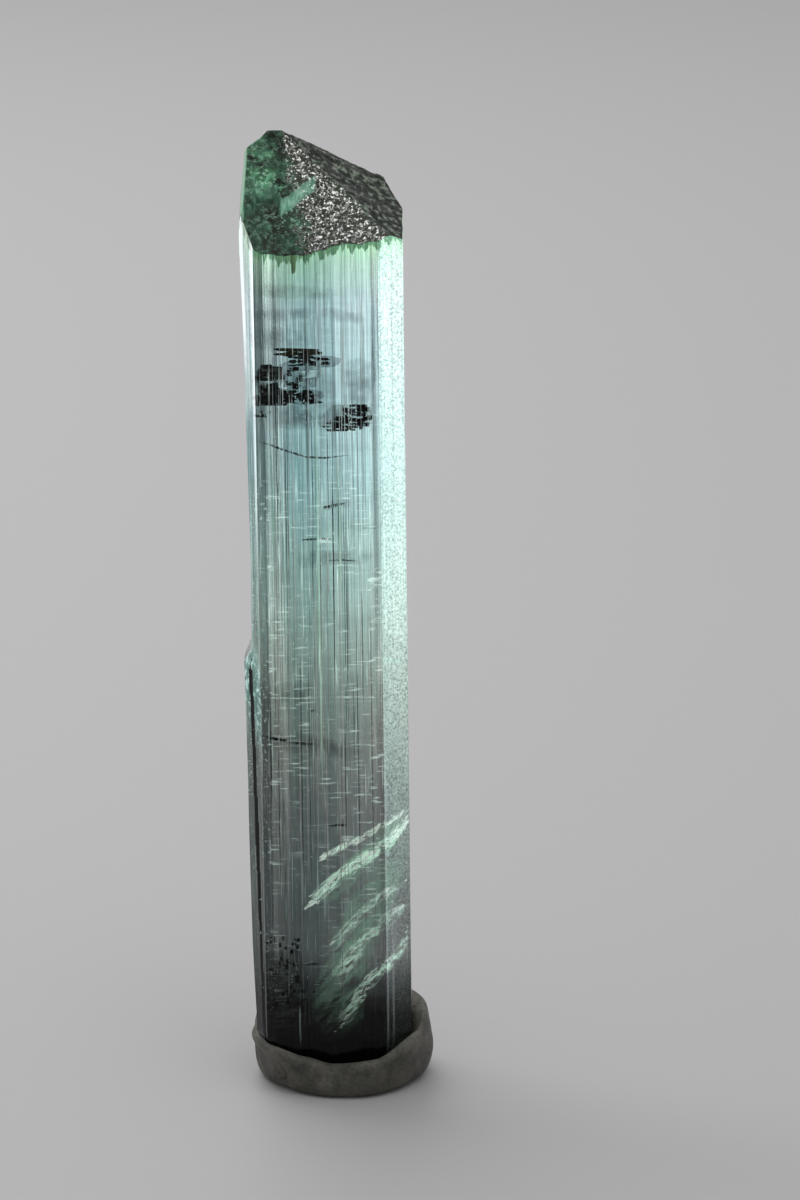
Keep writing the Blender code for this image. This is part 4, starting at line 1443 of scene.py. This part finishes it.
puttyLook = {
    "dark": (60, 60, 54),
    "light": (96, 95, 86),
    "pits": 0.66,
    "roughness": 0.6,
    # painted light: paler towards the lip, as the top catches the light: height in mm and gain
    "worn": [(0.0, 0.95), (2.2, 1.0), (3.6, 1.35), (5.2, 1.6)],
    "wornTop": 6.0,
    "patterns": {
        "smears": ("grain", {"Scale": 700.0, "Low": 0.35, "High": 0.65}),
        "specks": ("grain", {"Scale": 4200.0, "Low": 0.36, "High": 0.56}),
    },
}


# smears between a dark and a light grey x small pits x painted light, a gain that rises with the height
def puttyMaterial():
    look = puttyLook
    made, tree, shader = newMaterial("mineral putty", {"Roughness": look["roughness"]})
    place = objectPlace(tree)
    masks, heights = usePatterns(tree, place, look["patterns"])
    share = calc(tree, "DIVIDE", splitPlace(tree, place)["Z"], look["wornTop"] * mm)
    worn = times(
        tree, ramp(tree, share, [(z / look["wornTop"], level / 2) for z, level in look["worn"]]), 2.0
    )
    smears = mixColour(tree, masks["smears"], look["dark"], look["light"])
    colour = tint(tree, smears, mixColour(tree, masks["specks"], look["pits"], 1.0), worn)
    feed(tree, shader.inputs["Base Color"], colour)
    bump = addNode(
        tree, "ShaderNodeBump", {"Height": heights["specks"], "Strength": 0.7, "Distance": 0.12 * mm},
    )
    feed(tree, shader.inputs["Normal"], bump.outputs[0])
    return made


# Stage: floor, sky and lights

stage = {
    "floorSize": 6.0,
    "floorTone": (196, 195, 196),
    "sky": (1.0, 0.99, 1.0, 1.0),
    "skyStrength": 0.46,
    # name, place in mm, aim in mm, width and height in mm, watts, spread in degrees
    "lamps": [
        ("overhead", (30, -130, 420), (0, 0, 60), (240, 240), 0.03, 50),
        ("backSoftbox", (-190, 300, 400), (-90, 220, 0), (420, 300), 0.80, 150),
        ("sideCard", (-118, 80, 40), (0, 0, 75), (60, 50), 0.0026, 60),
    ],
}


# a square floor, an even sky, and area lamps that each look from their place to their aim
def makeStage():
    half = stage["floorSize"] / 2
    mesh = bpy.data.meshes.new("floor")
    mesh.from_pydata(
        [(-half, -half, 0), (half, -half, 0), (half, half, 0), (-half, half, 0)], [], [(0, 1, 2, 3)],
    )
    floor = bpy.data.objects.new("floor", mesh)
    bpy.context.scene.collection.objects.link(floor)
    mesh.materials.append(
        newMaterial("floor", {"Base Color": linear(stage["floorTone"]), "Roughness": 0.5})[0],
    )
    world = bpy.data.worlds.new("studio")
    bpy.context.scene.world = world
    world.use_nodes = True
    sky = world.node_tree.nodes["Background"].inputs
    sky["Color"].default_value, sky["Strength"].default_value = stage["sky"], stage["skyStrength"]
    for name, place, aim, size, power, spread in stage["lamps"]:
        lamp = bpy.data.lights.new(name, "AREA")
        lamp.shape = "RECTANGLE"
        lamp.size, lamp.size_y = size[0] * mm, size[1] * mm
        lamp.energy = power
        lamp.spread = math.radians(spread)
        holder = bpy.data.objects.new(name, lamp)
        bpy.context.scene.collection.objects.link(holder)
        holder.location = np.array(place) * mm
        towards = (np.array(aim) - place) * mm
        holder.rotation_euler = Vector(towards).to_track_quat("-Z", "Y").to_euler()
    bpy.context.scene.view_settings.view_transform = "Standard"
    print("stage ready")


cameraPlace = makeCamera()
crystal = makeCrystal()
for finish in (
    bodyMaterial("tourmaline"), tipMaterial(), bodyMaterial("frosted tourmaline"),
    bodyMaterial("tourmaline back"),
    markMaterial(*markLooks["seam"]),
):
    crystal.data.materials.append(finish)
makePutty().data.materials.append(puttyMaterial())
makeMarks()
makeStage()
